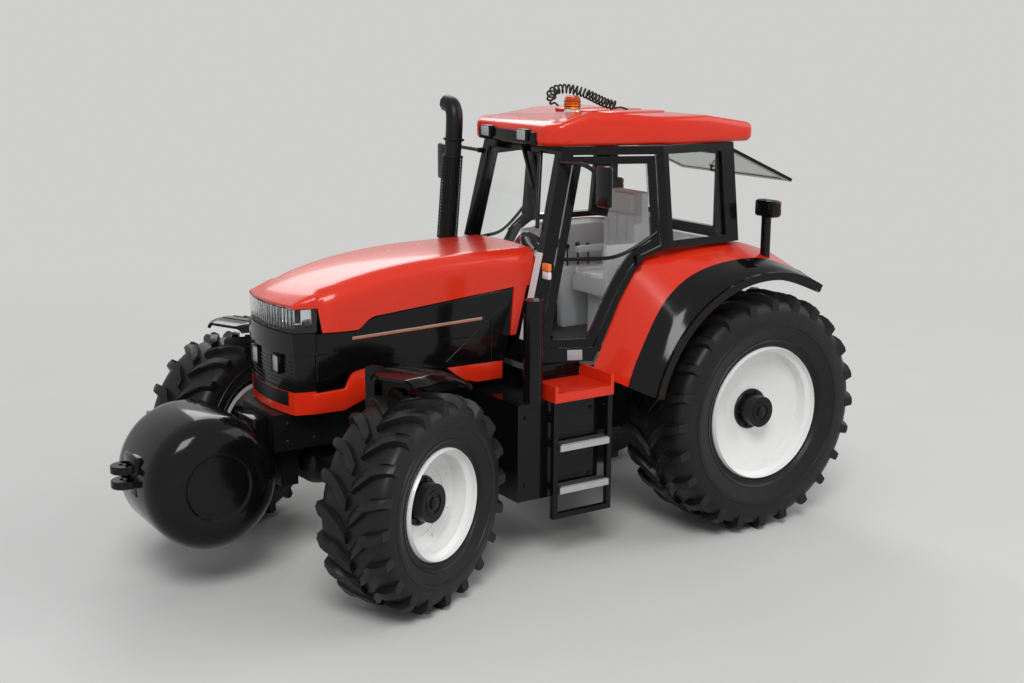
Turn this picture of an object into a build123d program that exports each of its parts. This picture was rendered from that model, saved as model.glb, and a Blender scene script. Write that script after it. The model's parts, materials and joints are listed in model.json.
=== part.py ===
"""A 1:32 scale model of a four-wheel-drive farm tractor with a cab, a front ballast and a rear linkage.

Stations run forward (+X) from the rear axle, +Y is the tractor's left and +Z is up from the floor.
Every finished piece is shifted along X so that the origin lies on the floor under the model's middle.
"""

import os
from math import atan2, cos, degrees, hypot, radians, sin, tan

from build123d import *

# Overall layout, all in millimetres
wheelbase = 94.5
front_reach = 140.0
rear_reach = 38.0
fit_gap = 0.05
seat_gap = 0.3
bearing_gap = 0.12

# Rear wheels on one shaft
rear_radius = 28.0
rear_width = 21.0
rear_track = 61.0
rear_rim_radius = 16.8
rear_dish = 5.0
rear_hub_radius = 3.6
rear_shaft_radius = 1.8

# Front wheels on knuckles
front_radius = 22.2
front_width = 16.8
front_track = 70.6
front_rim_radius = 12.8
front_dish = 5.5
front_hub_radius = 4.0
spindle_radius = 1.4
kingpin_y = 23.2
kingpin_radius = 1.3
steer_at_rest = 24.0
steer_arm = 8.5
tread_depth = 1.9
rim_wall = 0.9

# Front axle beam and its swing pin
axle_section = 5.0
axle_pin_radius = 1.4
axle_eye_radius = 2.8
axle_eye_height = 6.0
knuckle_ear = 1.8

# Chassis castings
engine_front = 100.0
engine_half_width = 9.0
engine_top = 44.0
chassis_bottom = 20.5
gearbox_top = 39.0
firewall_x = 50.0
support_front = 108.0
support_rear = 84.0
support_half_width = 8.0
support_top = 36.0
support_bottom = 28.0
hanger_thickness = 4.0
trumpet_radius = 5.0

# Front ballast drum and its towing jaw
ballast_radius = 14.0
ballast_half_width = 12.5
ballast_x = 122.0
ballast_z = 24.0
jaw_length = 9.0
jaw_gap = 3.1
jaw_thickness = 1.6
jaw_width = 5.0
jaw_hole_radius = 0.8

# Bonnet
hood_half_width = 14.0
hood_nose_half_width = 11.0
hood_nose_x = 106.0
hood_top = 66.8
hood_nose_z = 58.6
hood_wall = 1.2
lamp_bottom = 54.6
band_bottom = 46.8
grille_bottom = 41.0
trim_bottom = 36.2
panel_rear_z = 58.6

# Exhaust stack and left air intake column
stack_x = 51.0
stack_y = -18.2
stack_lean = 4.8
stack_radius = 2.3
stack_top = 97.5
column_x = 58.3
column_y = 30.0
column_radius = 2.1
column_bottom = 37.0
column_top = 59.0

# Cab walls: the three points that set the door plane, then the rear corner post
cab_floor_z = 42.0
cab_top = 89.0
a_post_foot = (52.0, 17.5, 44.0)
a_post_head = (41.5, 16.0, 89.0)
b_post_head = (20.5, 25.0, 89.0)
c_post_head = (0.5, 24.0, 89.0)
belt_z = 66.5
cab_rear_x = -1.0
cab_wall = 1.6
post_width = 2.6
door_gap = 0.3
glass_thickness = 0.6

# Roof
roof_front = 45.5
roof_rear = -8.0
roof_front_half = 17.0
roof_rear_half = 25.5
roof_depth = 6.5

# Rear fenders, step and ladder
fender_inner = 21.5
fender_outer = 34.0
fender_gap = 2.0
flare_outer = 39.5
flare_thickness = 1.4
step_front = 54.5
step_rear = 39.0
step_outer = 33.0
step_top = 38.6
step_thickness = 2.0
ladder_foot = 10.5
ladder_rail = 0.6
tread_spacing = 9.5

# Rear window
window_open = 67.0
window_length = 22.5
window_half = 20.5
window_thickness = 0.8

# Rear linkage, a parallelogram of links, arms and rods
link_pivot = (-11.5, 17.0)
link_y = 9.5
link_to_rod = 16.0
link_fall = 6.0
arm_rise = 21.0
link_section = 2.2
link_eye_radius = 2.0
link_eye_bore = 1.0
link_length = (rear_reach + link_pivot[0] - link_eye_radius) / cos(radians(link_fall))

rear_axle_x = (rear_reach - front_reach) / 2
shift = Location((rear_axle_x, 0, 0))
os.makedirs("parts", exist_ok=True)


def save(shape, name):
    """Writes a piece at its place in the model's own frame."""
    placed = shape.moved(shift)
    placed.label = name
    export_step(placed, f"parts/{name}.step")


def both_sides(shape):
    """A left piece and its mirror image as one compound of separate solids."""
    other = mirror(shape, about=Plane.XZ, mode=Mode.PRIVATE)
    return Compound(children=[*shape.solids(), *other.solids()])


def block(x, y, z):
    """A box between two stations, two offsets and two heights, for use inside a part."""
    with Locations(((x[0] + x[1]) / 2, (y[0] + y[1]) / 2, (z[0] + z[1]) / 2)):
        Box(abs(x[1] - x[0]), abs(y[1] - y[0]), abs(z[1] - z[0]))


# Wheels, made about the Y axis with the outer face towards +Y
def tyre(radius, width, seat):
    """A tyre with flat flanks and rounded shoulders, out to the tips of its lugs."""
    half = width / 2
    shoulder = width * 0.16
    with BuildPart() as made:
        with BuildSketch(Plane.XY):
            with BuildLine():
                Polyline(
                    (seat, half * 0.82),
                    (seat, -half * 0.82),
                    (seat + 1.2, -half),
                    (radius - shoulder, -half),
                    (radius - shoulder * 0.3, -half + shoulder * 0.3),
                    (radius, -half + shoulder),
                    (radius, half - shoulder),
                    (radius - shoulder * 0.3, half - shoulder * 0.3),
                    (radius - shoulder, half),
                    (seat + 1.2, half),
                    close=True,
                )
            make_face()
        revolve(axis=Axis.Y)
    return made.part


def rim(radius, width, dish, hub_radius, seat):
    """A dished rim: a barrel with flanges and a disc set in from the outer face."""
    half = width / 2 * 0.82 - fit_gap
    disc = half - dish
    barrel = seat - fit_gap
    with BuildPart() as made:
        with BuildSketch(Plane.XY):
            with BuildLine():
                Polyline(
                    (barrel, -half),
                    (barrel, half),
                    (radius - 1.6, half + 0.7),
                    (radius - 1.6, half - 0.6),
                    (barrel - rim_wall * 1.6, half - 1.2),
                    (barrel - rim_wall * 1.6, disc + 1.0),
                    (hub_radius + 3.5, disc),
                    (hub_radius + fit_gap, disc),
                    (hub_radius + fit_gap, disc - rim_wall),
                    (hub_radius + 3.5, disc - rim_wall),
                    (barrel - rim_wall * 1.6, disc - 0.6),
                    (barrel - rim_wall, -half),
                    close=True,
                )
            make_face()
        revolve(axis=Axis.Y)
    return made.part


def wheel_seat(rim_radius):
    """The radius where tyre and rim meet."""
    return rim_radius - 1.2


def front_hub():
    """A planetary hub with a blind bore for the spindle."""
    disc = front_width / 2 * 0.82 - fit_gap - front_dish
    with BuildPart() as made:
        with Locations((0, disc + 1.0, 0)):
            Cylinder(front_hub_radius, 5.0, rotation=(90, 0, 0))
        with Locations((0, disc - rim_wall - 1.0, 0)):
            Cylinder(front_hub_radius + 1.0, 2.0, rotation=(90, 0, 0))
        with Locations((0, disc - 1.5, 0)):
            Cylinder(spindle_radius + bearing_gap, 7.0, rotation=(90, 0, 0), mode=Mode.SUBTRACT)
    return made.part


def rear_hubs():
    """Both rear hubs on their common shaft."""
    disc = rear_width / 2 * 0.82 - fit_gap - rear_dish + rear_track / 2
    with BuildPart() as made:
        Cylinder(rear_shaft_radius, 2 * disc, rotation=(90, 0, 0))
        for side in (1, -1):
            with Locations((0, side * (disc + 1.2), 0)):
                Cylinder(rear_hub_radius, 5.4, rotation=(90, 0, 0))
            with Locations((0, side * (disc - rim_wall - 1.0), 0)):
                Cylinder(rear_hub_radius + 1.0, 2.0, rotation=(90, 0, 0))
    return made.part.moved(Location((0, 0, rear_radius)))


front_seat = wheel_seat(front_rim_radius)
rear_seat = wheel_seat(rear_rim_radius)
wheel_offset = front_track / 2 - kingpin_y


def at_kingpin(side, turned=True):
    """Where a knuckle's own frame lies: its kingpin at wheel height, turned by the steering."""
    turn = steer_at_rest if turned else 0
    return Location((wheelbase, side * kingpin_y, front_radius), (0, 0, turn))


front_tyre = tyre(front_radius, front_width, front_seat)
front_rim = rim(front_rim_radius, front_width, front_dish, front_hub_radius, front_seat)
front_hub_part = front_hub()
for side, name in ((1, "left"), (-1, "right")):
    for piece, kind in ((front_tyre, "tyre"), (front_rim, "rim"), (front_hub_part, "hub")):
        handed = piece if side > 0 else mirror(piece, about=Plane.XZ, mode=Mode.PRIVATE)
        hung = handed.moved(Location((0, side * wheel_offset, 0)))
        save(hung.moved(at_kingpin(side)), f"front_{kind}_{name}")

rear_place = Location((0, rear_track / 2, rear_radius))
rear_tyre = tyre(rear_radius, rear_width, rear_seat).moved(rear_place)
save(rear_tyre, "rear_tyre_left")
save(mirror(rear_tyre, about=Plane.XZ, mode=Mode.PRIVATE), "rear_tyre_right")
rear_rim = rim(rear_rim_radius, rear_width, rear_dish, rear_hub_radius, rear_seat)
save(both_sides(rear_rim.moved(rear_place)), "rear_rims")
save(rear_hubs(), "rear_hubs")

# Front axle: a beam that swings on a lengthwise pin, with an eye for each kingpin
with BuildPart() as front_axle:
    block((-axle_section / 2, axle_section / 2), (-kingpin_y + 1, kingpin_y - 1), (-axle_section / 2, axle_section / 2))
    with Locations((0, 0, 0)):
        Sphere(axle_section)
    with Locations((0, kingpin_y, 0), (0, -kingpin_y, 0)):
        Cylinder(axle_eye_radius, axle_eye_height)
    Cylinder(axle_pin_radius, support_front - support_rear - 4, rotation=(0, 90, 0))
    with Locations((0, kingpin_y, 0), (0, -kingpin_y, 0)):
        Cylinder(kingpin_radius + bearing_gap, axle_eye_height, mode=Mode.SUBTRACT)
save(front_axle.part.moved(Location((wheelbase, 0, front_radius))), "front_axle")


def knuckle(side):
    """A forked steering knuckle in its own frame: ears, kingpin, web, spindle and steering arm."""
    ear_in = axle_eye_height / 2 + bearing_gap
    ear_out = ear_in + knuckle_ear
    web_in = axle_eye_radius + 0.5
    web_out = web_in + 1.8
    spindle_end = wheel_offset + front_width / 2 * 0.82 - front_dish - 1.0
    with BuildPart() as made:
        for z in ((ear_in, ear_out), (-ear_out, -ear_in)):
            block((-2.4, 2.4), (0, side * web_out), z)
            with Locations((0, 0, sum(z) / 2)):
                Cylinder(2.4, knuckle_ear)
        block((-2.4, 2.4), (side * web_in, side * web_out), (-ear_out, ear_out))
        Cylinder(kingpin_radius, 2 * ear_out)
        with Locations((0, side * (web_in + spindle_end) / 2, 0)):
            Cylinder(spindle_radius, spindle_end - web_in, rotation=(90, 0, 0))
        block((-steer_arm, 0), (-1.2, 1.2), (-ear_out, -ear_in))
        with Locations((-steer_arm, 0, -(ear_in + ear_out) / 2)):
            Cylinder(1.6, knuckle_ear)
        with Locations((-steer_arm, 0, -ear_out - 1.2)):
            Cylinder(0.7, 2.4)
        block((-2.4, 0), (0, side * 2.4), (ear_out, front_radius + 3.0))
        block((-2.4, 0), (0, side * 4.0), (front_radius + 1.6, front_radius + 3.4))
    return made.part


def front_fender(side):
    """A curved mudguard over the top and back of a front wheel, on the knuckle's post."""
    inner = front_radius + 3.2
    outer = inner + 0.9
    reach_in = 3.0
    reach_out = wheel_offset + front_width / 2 - 1.0
    with BuildPart() as made:
        with BuildSketch(Plane.XZ):
            with BuildLine():
                CenterArc((0, 0), outer, 62, 66)
                CenterArc((0, 0), inner, 62, 66)
                for a in (62, 128):
                    c, s = cos(radians(a)), sin(radians(a))
                    Line((inner * c, inner * s), (outer * c, outer * s))
            make_face()
        extrude(amount=reach_out - reach_in)
    width = reach_out - reach_in
    shift_y = reach_in + width if side > 0 else -reach_in
    return made.part.moved(Location((0, shift_y, 0)))


for side, name in ((1, "left"), (-1, "right")):
    guard = front_fender(side)
    carrier = knuckle(side) - guard
    save(carrier.moved(at_kingpin(side)), f"knuckle_{name}")
    save(guard.moved(at_kingpin(side)), f"front_fender_{name}")

# Tie rod between the two steering arms, under their pins
with BuildPart() as tie_rod:
    rod_z = front_radius - axle_eye_height / 2 - bearing_gap - knuckle_ear - bearing_gap - 0.8
    arm_x = wheelbase - steer_arm * cos(radians(steer_at_rest))
    arm_y = -steer_arm * sin(radians(steer_at_rest))
    with Locations((arm_x, arm_y, rod_z)):
        Cylinder(0.8, 2 * kingpin_y - 2, rotation=(90, 0, 0))
    with Locations((arm_x, arm_y + kingpin_y, rod_z), (arm_x, arm_y - kingpin_y, rod_z)):
        Cylinder(1.6, 1.6)
    with Locations((arm_x, arm_y + kingpin_y, rod_z), (arm_x, arm_y - kingpin_y, rod_z)):
        Cylinder(0.7 + bearing_gap, 1.6, mode=Mode.SUBTRACT)
save(tie_rod.part, "tie_rod")

# Engine and gearbox casting, the spine of the model
with BuildPart() as drive_train:
    block((firewall_x + 3, engine_front), (-engine_half_width, engine_half_width), (support_top, engine_top))
    block((6.0, firewall_x), (-engine_half_width, engine_half_width), (chassis_bottom, gearbox_top))
    block((firewall_x, support_rear), (-engine_half_width + 2, engine_half_width - 2), (chassis_bottom, support_top))
save(drive_train.part, "drive_train")

# Rear axle housing with its trumpets and the linkage's brackets
link_bracket_y = link_y - 1.8
arm_pivot = (link_pivot[0], link_pivot[1] + arm_rise)
with BuildPart() as rear_axle_housing:
    block((-9.0, 6.0 - fit_gap), (-12, 12), (14.5, gearbox_top))
    with Locations((0, 0, rear_radius)):
        Cylinder(trumpet_radius, rear_track - rear_width - 2, rotation=(90, 0, 0))
        Cylinder(rear_shaft_radius + bearing_gap, rear_track, rotation=(90, 0, 0), mode=Mode.SUBTRACT)
    for side in (1, -1):
        for x, z in (link_pivot, arm_pivot):
            block((x, -8.9), (side * (link_bracket_y - 0.7), side * (link_bracket_y + 0.7)), (z - 1.6, z + 1.6))
            with Locations((x, side * link_bracket_y, z)):
                Cylinder(1.6, 1.4, rotation=(90, 0, 0))
            with Locations((x, side * (link_y - 0.3), z)):
                Cylinder(link_eye_bore - bearing_gap, 2.6, rotation=(90, 0, 0))
save(rear_axle_housing.part, "rear_axle_housing")

# Front support: a bolster with two hangers for the axle pin
with BuildPart() as front_support:
    block((support_rear, support_front), (-support_half_width, support_half_width), (support_bottom, support_top))
    for x0 in (support_rear, support_front - 3 - hanger_thickness):
        block((x0, x0 + hanger_thickness), (-4, 4), (front_radius - 3.2, support_bottom))
    with Locations((wheelbase, 0, front_radius)):
        Cylinder(axle_pin_radius + bearing_gap, 60, rotation=(0, 90, 0), mode=Mode.SUBTRACT)
save(front_support.part, "front_support")

# Ballast drum with a towing jaw
with BuildPart() as ballast:
    with Locations((ballast_x, 0, ballast_z)):
        Cylinder(ballast_radius, 2 * ballast_half_width, rotation=(90, 0, 0))
    chamfer(ballast.edges().filter_by(GeomType.CIRCLE), length=2.5)
    jaw_x = ballast_x + ballast_radius - 2.0
    for z in (ballast_z + 2.0 + jaw_gap / 2, ballast_z + 2.0 - jaw_gap / 2):
        block((jaw_x, front_reach - jaw_width / 2), (-jaw_width / 2, jaw_width / 2), (z - jaw_thickness / 2, z + jaw_thickness / 2))
        with Locations((front_reach - jaw_width / 2, 0, z)):
            Cylinder(jaw_width / 2, jaw_thickness)
            Cylinder(jaw_hole_radius, jaw_thickness, mode=Mode.SUBTRACT)
    block((support_front, ballast_x - ballast_radius + 2), (-5, 5), (support_bottom - 6, support_top - 1))
save(ballast.part, "ballast_weight")

# Bonnet: a crowned shell that falls towards the nose
hood_rear = firewall_x + 0.5
screen_lean = (a_post_foot[0] - a_post_head[0]) / (a_post_head[2] - a_post_foot[2])
screen_stretch = hypot(1, screen_lean)


def screen_x(z):
    """The windscreen's station at a height."""
    return a_post_foot[0] - (z - a_post_foot[2]) * screen_lean


def hood_outline(inset):
    """The bonnet seen from the side: top line, nose and lower edge."""
    with BuildSketch(Plane.XZ) as side:
        with BuildLine():
            Spline(
                (screen_x(hood_top) + 0.4, hood_top - inset),
                (72, hood_top - 0.6 - inset),
                (94, hood_top - 3.4 - inset),
                (hood_nose_x - inset, hood_nose_z + 0.6),
            )
            Line((hood_nose_x - inset, hood_nose_z + 0.6), (hood_nose_x - inset, hood_nose_z))
            Line((hood_nose_x - inset, hood_nose_z), (96, hood_nose_z - 0.2))
            Line((96, hood_nose_z - 0.2), (91, lamp_bottom - 1.6))
            Line((91, lamp_bottom - 1.6), (hood_rear + 2, panel_rear_z))
            Line((hood_rear + 2, panel_rear_z), (hood_rear + 3, band_bottom + 1))
            Line((hood_rear + 3, band_bottom + 1), (screen_x(band_bottom) + 0.6, band_bottom + 1))
            Line((screen_x(band_bottom) + 0.6, band_bottom + 1), (screen_x(hood_top) + 0.4, hood_top - inset))
        make_face()
    return side.sketch


def hood_plan(inset):
    """The bonnet seen from above: nearly parallel sides and a rounded nose."""
    half = hood_half_width - inset
    nose = hood_nose_half_width - inset
    with BuildSketch(Plane.XY) as plan:
        with BuildLine():
            Polyline((hood_rear - 6, half), (96, half - 0.8), (hood_nose_x - 1.6 - inset, nose))
            ThreePointArc((hood_nose_x - 1.6 - inset, nose), (hood_nose_x - inset, 0), (hood_nose_x - 1.6 - inset, -nose))
            Polyline((hood_nose_x - 1.6 - inset, -nose), (96, -half + 0.8), (hood_rear - 6, -half), (hood_rear - 6, half))
        make_face()
    return plan.sketch


def nose_prism(z0, z1, inset=0.0):
    """The nose's plan between two heights."""
    with BuildPart() as made:
        with BuildSketch(Plane.XY.offset(z0)):
            add(hood_plan(inset))
        extrude(amount=z1 - z0)
    return made.part


with BuildPart() as hood:
    with BuildSketch(Plane.XZ):
        add(hood_outline(0))
    extrude(amount=hood_half_width + 1, both=True)
    add(nose_prism(0, 100), mode=Mode.INTERSECT)
    with BuildPart(mode=Mode.SUBTRACT):
        with BuildSketch(Plane.XZ):
            with Locations(((hood_rear + 98) / 2, (hood_top + 40) / 2 - 4)):
                Rectangle(96 - hood_rear, hood_top - 40)
        extrude(amount=hood_half_width - hood_wall, both=True)
save(hood.part, "hood")

# Headlamp lens strip, grille band and red lower trim, one below the other round the nose
lens_rear = 96.2


def nose_ring(z0, z1, inset, rear):
    """A band of the nose between two heights, from a rear station forward."""
    with BuildPart() as made:
        add(nose_prism(z0, z1, inset))
        with Locations((rear + 15, 0, (z0 + z1) / 2)):
            Box(30, 60, z1 - z0 + 2, mode=Mode.INTERSECT)
    return made.part


save(nose_ring(lamp_bottom + fit_gap, hood_nose_z - seat_gap, 0.3, lens_rear), "headlamps")
save(nose_ring(grille_bottom + fit_gap, lamp_bottom, 0.2, engine_front + fit_gap), "grille")
save(nose_ring(trim_bottom, grille_bottom, 0.0, engine_front + fit_gap), "lower_trim")

# Black side panels below the bonnet, each a plate with a shaped outline
with BuildPart() as side_panel:
    with BuildSketch(Plane.XZ.offset(-hood_half_width + 0.2)):
        with BuildLine():
            Polyline(
                (hood_rear + 2.2, panel_rear_z - 0.3),
                (91, lamp_bottom - 1.9),
                (95.8, hood_nose_z - 0.6),
                (96, lamp_bottom),
                (99.8, lamp_bottom),
                (99.8, 42.5),
                (88, 45.0),
                (70, 42.2),
                (55, 42.2),
                (hood_rear + 3.2, band_bottom + 1),
                close=True,
            )
        make_face()
    extrude(amount=hood_wall)
save(both_sides(side_panel.part), "side_panels")

# Exhaust stack beside the right post and the air column on the left
stack_length = (stack_top - hood_top + 5) / cos(radians(stack_lean))
with BuildPart() as exhaust:
    with Locations(Location((stack_x, stack_y, hood_top - 5), (0, -stack_lean, 0))):
        Cylinder(stack_radius, stack_length, align=(Align.CENTER, Align.CENTER, Align.MIN))
    block((stack_x - 1, stack_x + 1), (stack_y + 1, -hood_half_width), (hood_top - 5, hood_top - 2))
save(exhaust.part, "exhaust_stack")

with BuildPart() as intake:
    with Locations((column_x, column_y, (column_bottom + column_top) / 2)):
        Cylinder(column_radius, column_top - column_bottom)
save(intake.part, "intake_column")

# Cab walls: a block bounded by planes, so that frame, doors and panes share their faces
door_plane = Plane(
    origin=a_post_foot,
    x_dir=Vector(*b_post_head) - Vector(*a_post_head),
    z_dir=(Vector(*a_post_foot) - Vector(*a_post_head)).cross(Vector(*b_post_head) - Vector(*a_post_head)),
)


def on_wall(plane, x, z):
    """The full position of a wall plane's point at a station and a height."""
    n = plane.z_dir
    o = plane.origin
    return Vector(x, o.Y - (n.X * (x - o.X) + n.Z * (z - o.Z)) / n.Y, z)


b_post_belt = on_wall(door_plane, b_post_head[0], belt_z)
quarter_plane = Plane(
    origin=b_post_head,
    x_dir=Vector(*c_post_head) - Vector(*b_post_head),
    z_dir=(b_post_belt - Vector(*b_post_head)).cross(Vector(*c_post_head) - Vector(*b_post_head)),
)


def flipped(plane):
    """A left wall's plane on the right side, its normal still outward."""
    o, x, z = plane.origin, plane.x_dir, plane.z_dir
    return Plane(origin=(o.X, -o.Y, o.Z), x_dir=(x.X, -x.Y, x.Z), z_dir=(z.X, -z.Y, z.Z))


fender_line = ((21.0, belt_z), (25.5, 64.8), (28.0, 61.8), (31.8, 55.0), (35.5, 46.6), (38.0, cab_floor_z))


def cab_block(inset, open_ends):
    """The cab's bulk with every wall moved in; open ends run past the roof and the floor."""
    top = cab_top + (5 if open_ends else 0)
    if open_ends:
        foot = ((screen_x(0) - inset * screen_stretch, 0), (cab_rear_x + inset, 0))
    else:
        foot = ((screen_x(cab_floor_z), cab_floor_z), *fender_line[::-1], (cab_rear_x, belt_z))
    with BuildPart() as made:
        with BuildSketch(Plane.XZ):
            with BuildLine():
                Polyline(
                    (screen_x(top) - inset * screen_stretch, top),
                    *foot,
                    (cab_rear_x + inset, top),
                    close=True,
                )
            make_face()
        extrude(amount=60, both=True)
        for wall in (door_plane, quarter_plane, flipped(door_plane), flipped(quarter_plane)):
            split(bisect_by=wall.offset(-inset), keep=Keep.BOTTOM)
    return made.part


def wall_prism(plane, outline):
    """A cutter square to a wall, from an outline of stations and heights."""
    with BuildPart() as made:
        with BuildSketch(plane):
            with BuildLine():
                corners = [plane.to_local_coords(on_wall(plane, x, z)) for x, z in outline]
                Polyline(*[(c.X, c.Y) for c in corners], close=True)
            make_face()
        extrude(amount=7, both=True)
    return made.part


def a_line(z, back):
    """A station on the side wall, a distance behind the front post at a height."""
    return (screen_x(z) - back, z)


door_low = cab_floor_z + 3.0
door_high = cab_top - 1.8
door_back = b_post_head[0] + 1.6


def door_outline(inset):
    """The door's edge: along the front post, the roof, the middle post and the fender."""
    low = door_low + inset
    return (
        a_line(low, post_width + inset),
        a_line(door_high - inset, post_width + inset),
        (door_back + inset, door_high - inset),
        (door_back + inset, belt_z + 0.6 + inset * 0.6),
        (26.6 + inset * 0.9, 65.0 + inset * 0.5),
        (29.4 + inset * 1.0, 61.4 + inset * 0.4),
        (33.2 + inset * 1.0, 54.8 + inset * 0.3),
        (36.9 + inset * 1.0, 46.6 + inset * 0.2),
        (37.6 + inset * 1.2, low),
    )


quarter_outline = (
    (b_post_head[0] - 1.4, door_high),
    (c_post_head[0] + 2.4, door_high),
    (c_post_head[0] + 2.4, belt_z + 1.6),
    (b_post_head[0] - 1.4, belt_z + 1.6),
)
screen_plane = Plane(origin=a_post_foot, x_dir=(0, 1, 0), z_dir=(1, 0, screen_lean)).offset(0)


def screen_prism(low, high, edge):
    """A cutter for the windscreen, an edge in from both front posts."""
    half_low = on_wall(door_plane, screen_x(low), low).Y - edge
    half_high = on_wall(door_plane, screen_x(high), high).Y - edge
    with BuildPart() as made:
        with BuildSketch(Plane.YZ.offset(30)):
            with BuildLine():
                Polyline((half_low, low), (half_high, high), (-half_high, high), (-half_low, low), close=True)
            make_face()
        extrude(amount=40)
    return made.part


def rear_prism(edge):
    """A cutter for the rear opening."""
    with BuildPart() as made:
        block((cab_rear_x - 3, cab_rear_x + 6), (-window_half + edge, window_half - edge), (belt_z + 1.5 + edge, cab_top - 2 - edge))
    return made.part


screen_low = 64.5
shell = cab_block(0, False) - cab_block(cab_wall, True)
door_left_hole = wall_prism(door_plane, door_outline(0))
door_right_hole = wall_prism(flipped(door_plane), door_outline(0))
quarter_left_hole = wall_prism(quarter_plane, quarter_outline)
quarter_right_hole = wall_prism(flipped(quarter_plane), quarter_outline)
screen_hole = screen_prism(screen_low, door_high, 2.4)

cab_frame = shell - door_left_hole - door_right_hole - quarter_left_hole - quarter_right_hole
cab_frame = cab_frame - screen_hole - rear_prism(1.0)

# Lugs with pins for the rear window's barrels
hinge_x = cab_rear_x - 1.6
hinge_z = cab_top - 1.6
barrel_y = 11.5
barrel_length = 3.0
barrel_radius = 0.8
hinge_pin_radius = 0.35
with BuildPart() as window_lugs:
    for side in (1, -1):
        y0 = side * (barrel_y + barrel_length / 2 + 0.15)
        block((hinge_x - 0.6, cab_rear_x + 0.4), (y0, y0 + side), (hinge_z - 0.7, hinge_z + 0.7))
        with Locations((hinge_x, y0 - side * 1.2, hinge_z)):
            Cylinder(hinge_pin_radius, 2.6, rotation=(90, 0, 0))
cab_frame = cab_frame + window_lugs.part
save(cab_frame, "cab_frame")

# Panes lie inside the wall, one thickness each
pane_depth = (cab_wall - glass_thickness) / 2
pane_shell = cab_block(pane_depth, True) - cab_block(pane_depth + glass_thickness, True)
quarter_pane = tuple((x, z) for x, z in quarter_outline)
panes = [
    (pane_shell & quarter_left_hole).solids(),
    (pane_shell & quarter_right_hole).solids(),
    (pane_shell & screen_hole).solids(),
]
cab_glass = Compound(children=[solid for group in panes for solid in group])
save(cab_glass, "cab_glass")

for plane, name in ((door_plane, "left"), (flipped(door_plane), "right")):
    window = wall_prism(plane, door_outline(door_gap + 1.7))
    frame = (shell & wall_prism(plane, door_outline(door_gap))) - window
    save(frame, f"door_{name}")
    save(pane_shell & window, f"door_glass_{name}")

# Cab tub: floor, inner walls between the rear wheels, flanges under the side walls, door sills
with BuildPart() as cab_tub:
    block((0.8, 49.5), (-17.5, 17.5), (gearbox_top + seat_gap, cab_floor_z - 0.2))
    for side in (1, -1):
        block((0.8, 30.0), (side * 16.3, side * 17.5), (cab_floor_z - 0.2, belt_z - 0.2))
        block((0.8, 20.5), (side * 17.5, side * 23.8), (belt_z - 1.6, belt_z - 0.2))
        block((38.5, 50.5), (side * 17.0, side * 21.0), (cab_floor_z - 3, cab_floor_z - 0.2))
    block((0.8, 2.0), (-17.5, 17.5), (cab_floor_z - 0.2, belt_z - 0.2))
save(cab_tub.part, "cab_tub")

# Seat, console and steering wheel
with BuildPart() as seat:
    block((10, 22), (-6.5, 6.5), (52, 56))
    block((8, 11.5), (-6.5, 6.5), (55, 76))
    block((12, 20), (-3, 3), (cab_floor_z - 0.2, 52.5))
save(seat.part, "seat")

with BuildPart() as console:
    block((39.5, 44.5), (-5, 5), (cab_floor_z - 0.2, 58))
    with Locations(Location((40.6, 0, 60), (0, -50, 0))):
        Cylinder(0.8, 10)
save(console.part, "console")

with BuildPart() as steering_wheel:
    with Locations(Location((36.3, 0, 63.65), (0, -50, 0))):
        Torus(5.2, 0.6)
        Box(10.6, 1.2, 0.8)
        Cylinder(1.3, 1.2)
save(steering_wheel.part, "steering_wheel")

# Roof: a crowned slab, narrower towards the front, with a recess for its front lamps
with BuildPart() as roof:
    with BuildSketch(Plane.XZ):
        with BuildLine():
            Polyline(
                (roof_rear, cab_top + fit_gap),
                (roof_front, cab_top + fit_gap),
                (roof_front + 0.6, cab_top + roof_depth - 2.2),
                (36, cab_top + roof_depth),
                (8, cab_top + roof_depth),
                (roof_rear - 0.4, cab_top + roof_depth - 2.5),
                close=True,
            )
        make_face()
    extrude(amount=40, both=True)
    with BuildPart(mode=Mode.INTERSECT):
        with BuildSketch(Plane.XY.offset(cab_top - 1)):
            with BuildLine():
                Polyline(
                    (roof_front, roof_front_half - 3),
                    (roof_front - 3, roof_front_half),
                    (18, roof_rear_half),
                    (roof_rear + 3, roof_rear_half),
                    (roof_rear, roof_rear_half - 3),
                    (roof_rear, -roof_rear_half + 3),
                    (roof_rear + 3, -roof_rear_half),
                    (18, -roof_rear_half),
                    (roof_front - 3, -roof_front_half),
                    (roof_front, -roof_front_half + 3),
                    close=True,
                )
            make_face()
        extrude(amount=20)
save(roof.part, "roof")

# Rear fenders, ruled from the cab's line out to an arc over the tyre
arch = rear_radius + fender_gap


def fender_face(y, crown, inner_radius):
    """A fender's section at one offset: its crown line over an arc round the wheel."""
    with BuildSketch(Plane.XZ.offset(-y)) as face:
        with BuildLine():
            Spline(*crown)
            a0 = atan2(crown[-1][1] - rear_radius, crown[-1][0])
            a1 = atan2(crown[0][1] - rear_radius, crown[0][0])
            p0 = (inner_radius * cos(a0), rear_radius + inner_radius * sin(a0))
            p1 = (inner_radius * cos(a1), rear_radius + inner_radius * sin(a1))
            am = (a0 + a1) / 2
            pm = (inner_radius * cos(am), rear_radius + inner_radius * sin(am))
            Line(crown[-1], p0)
            ThreePointArc(p0, pm, p1)
            Line(p1, crown[0])
        make_face()
    return face.sketch


def arc_points(radius, angles):
    """Points round the rear axle."""
    return tuple((radius * cos(radians(a)), rear_radius + radius * sin(radians(a))) for a in angles)


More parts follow.
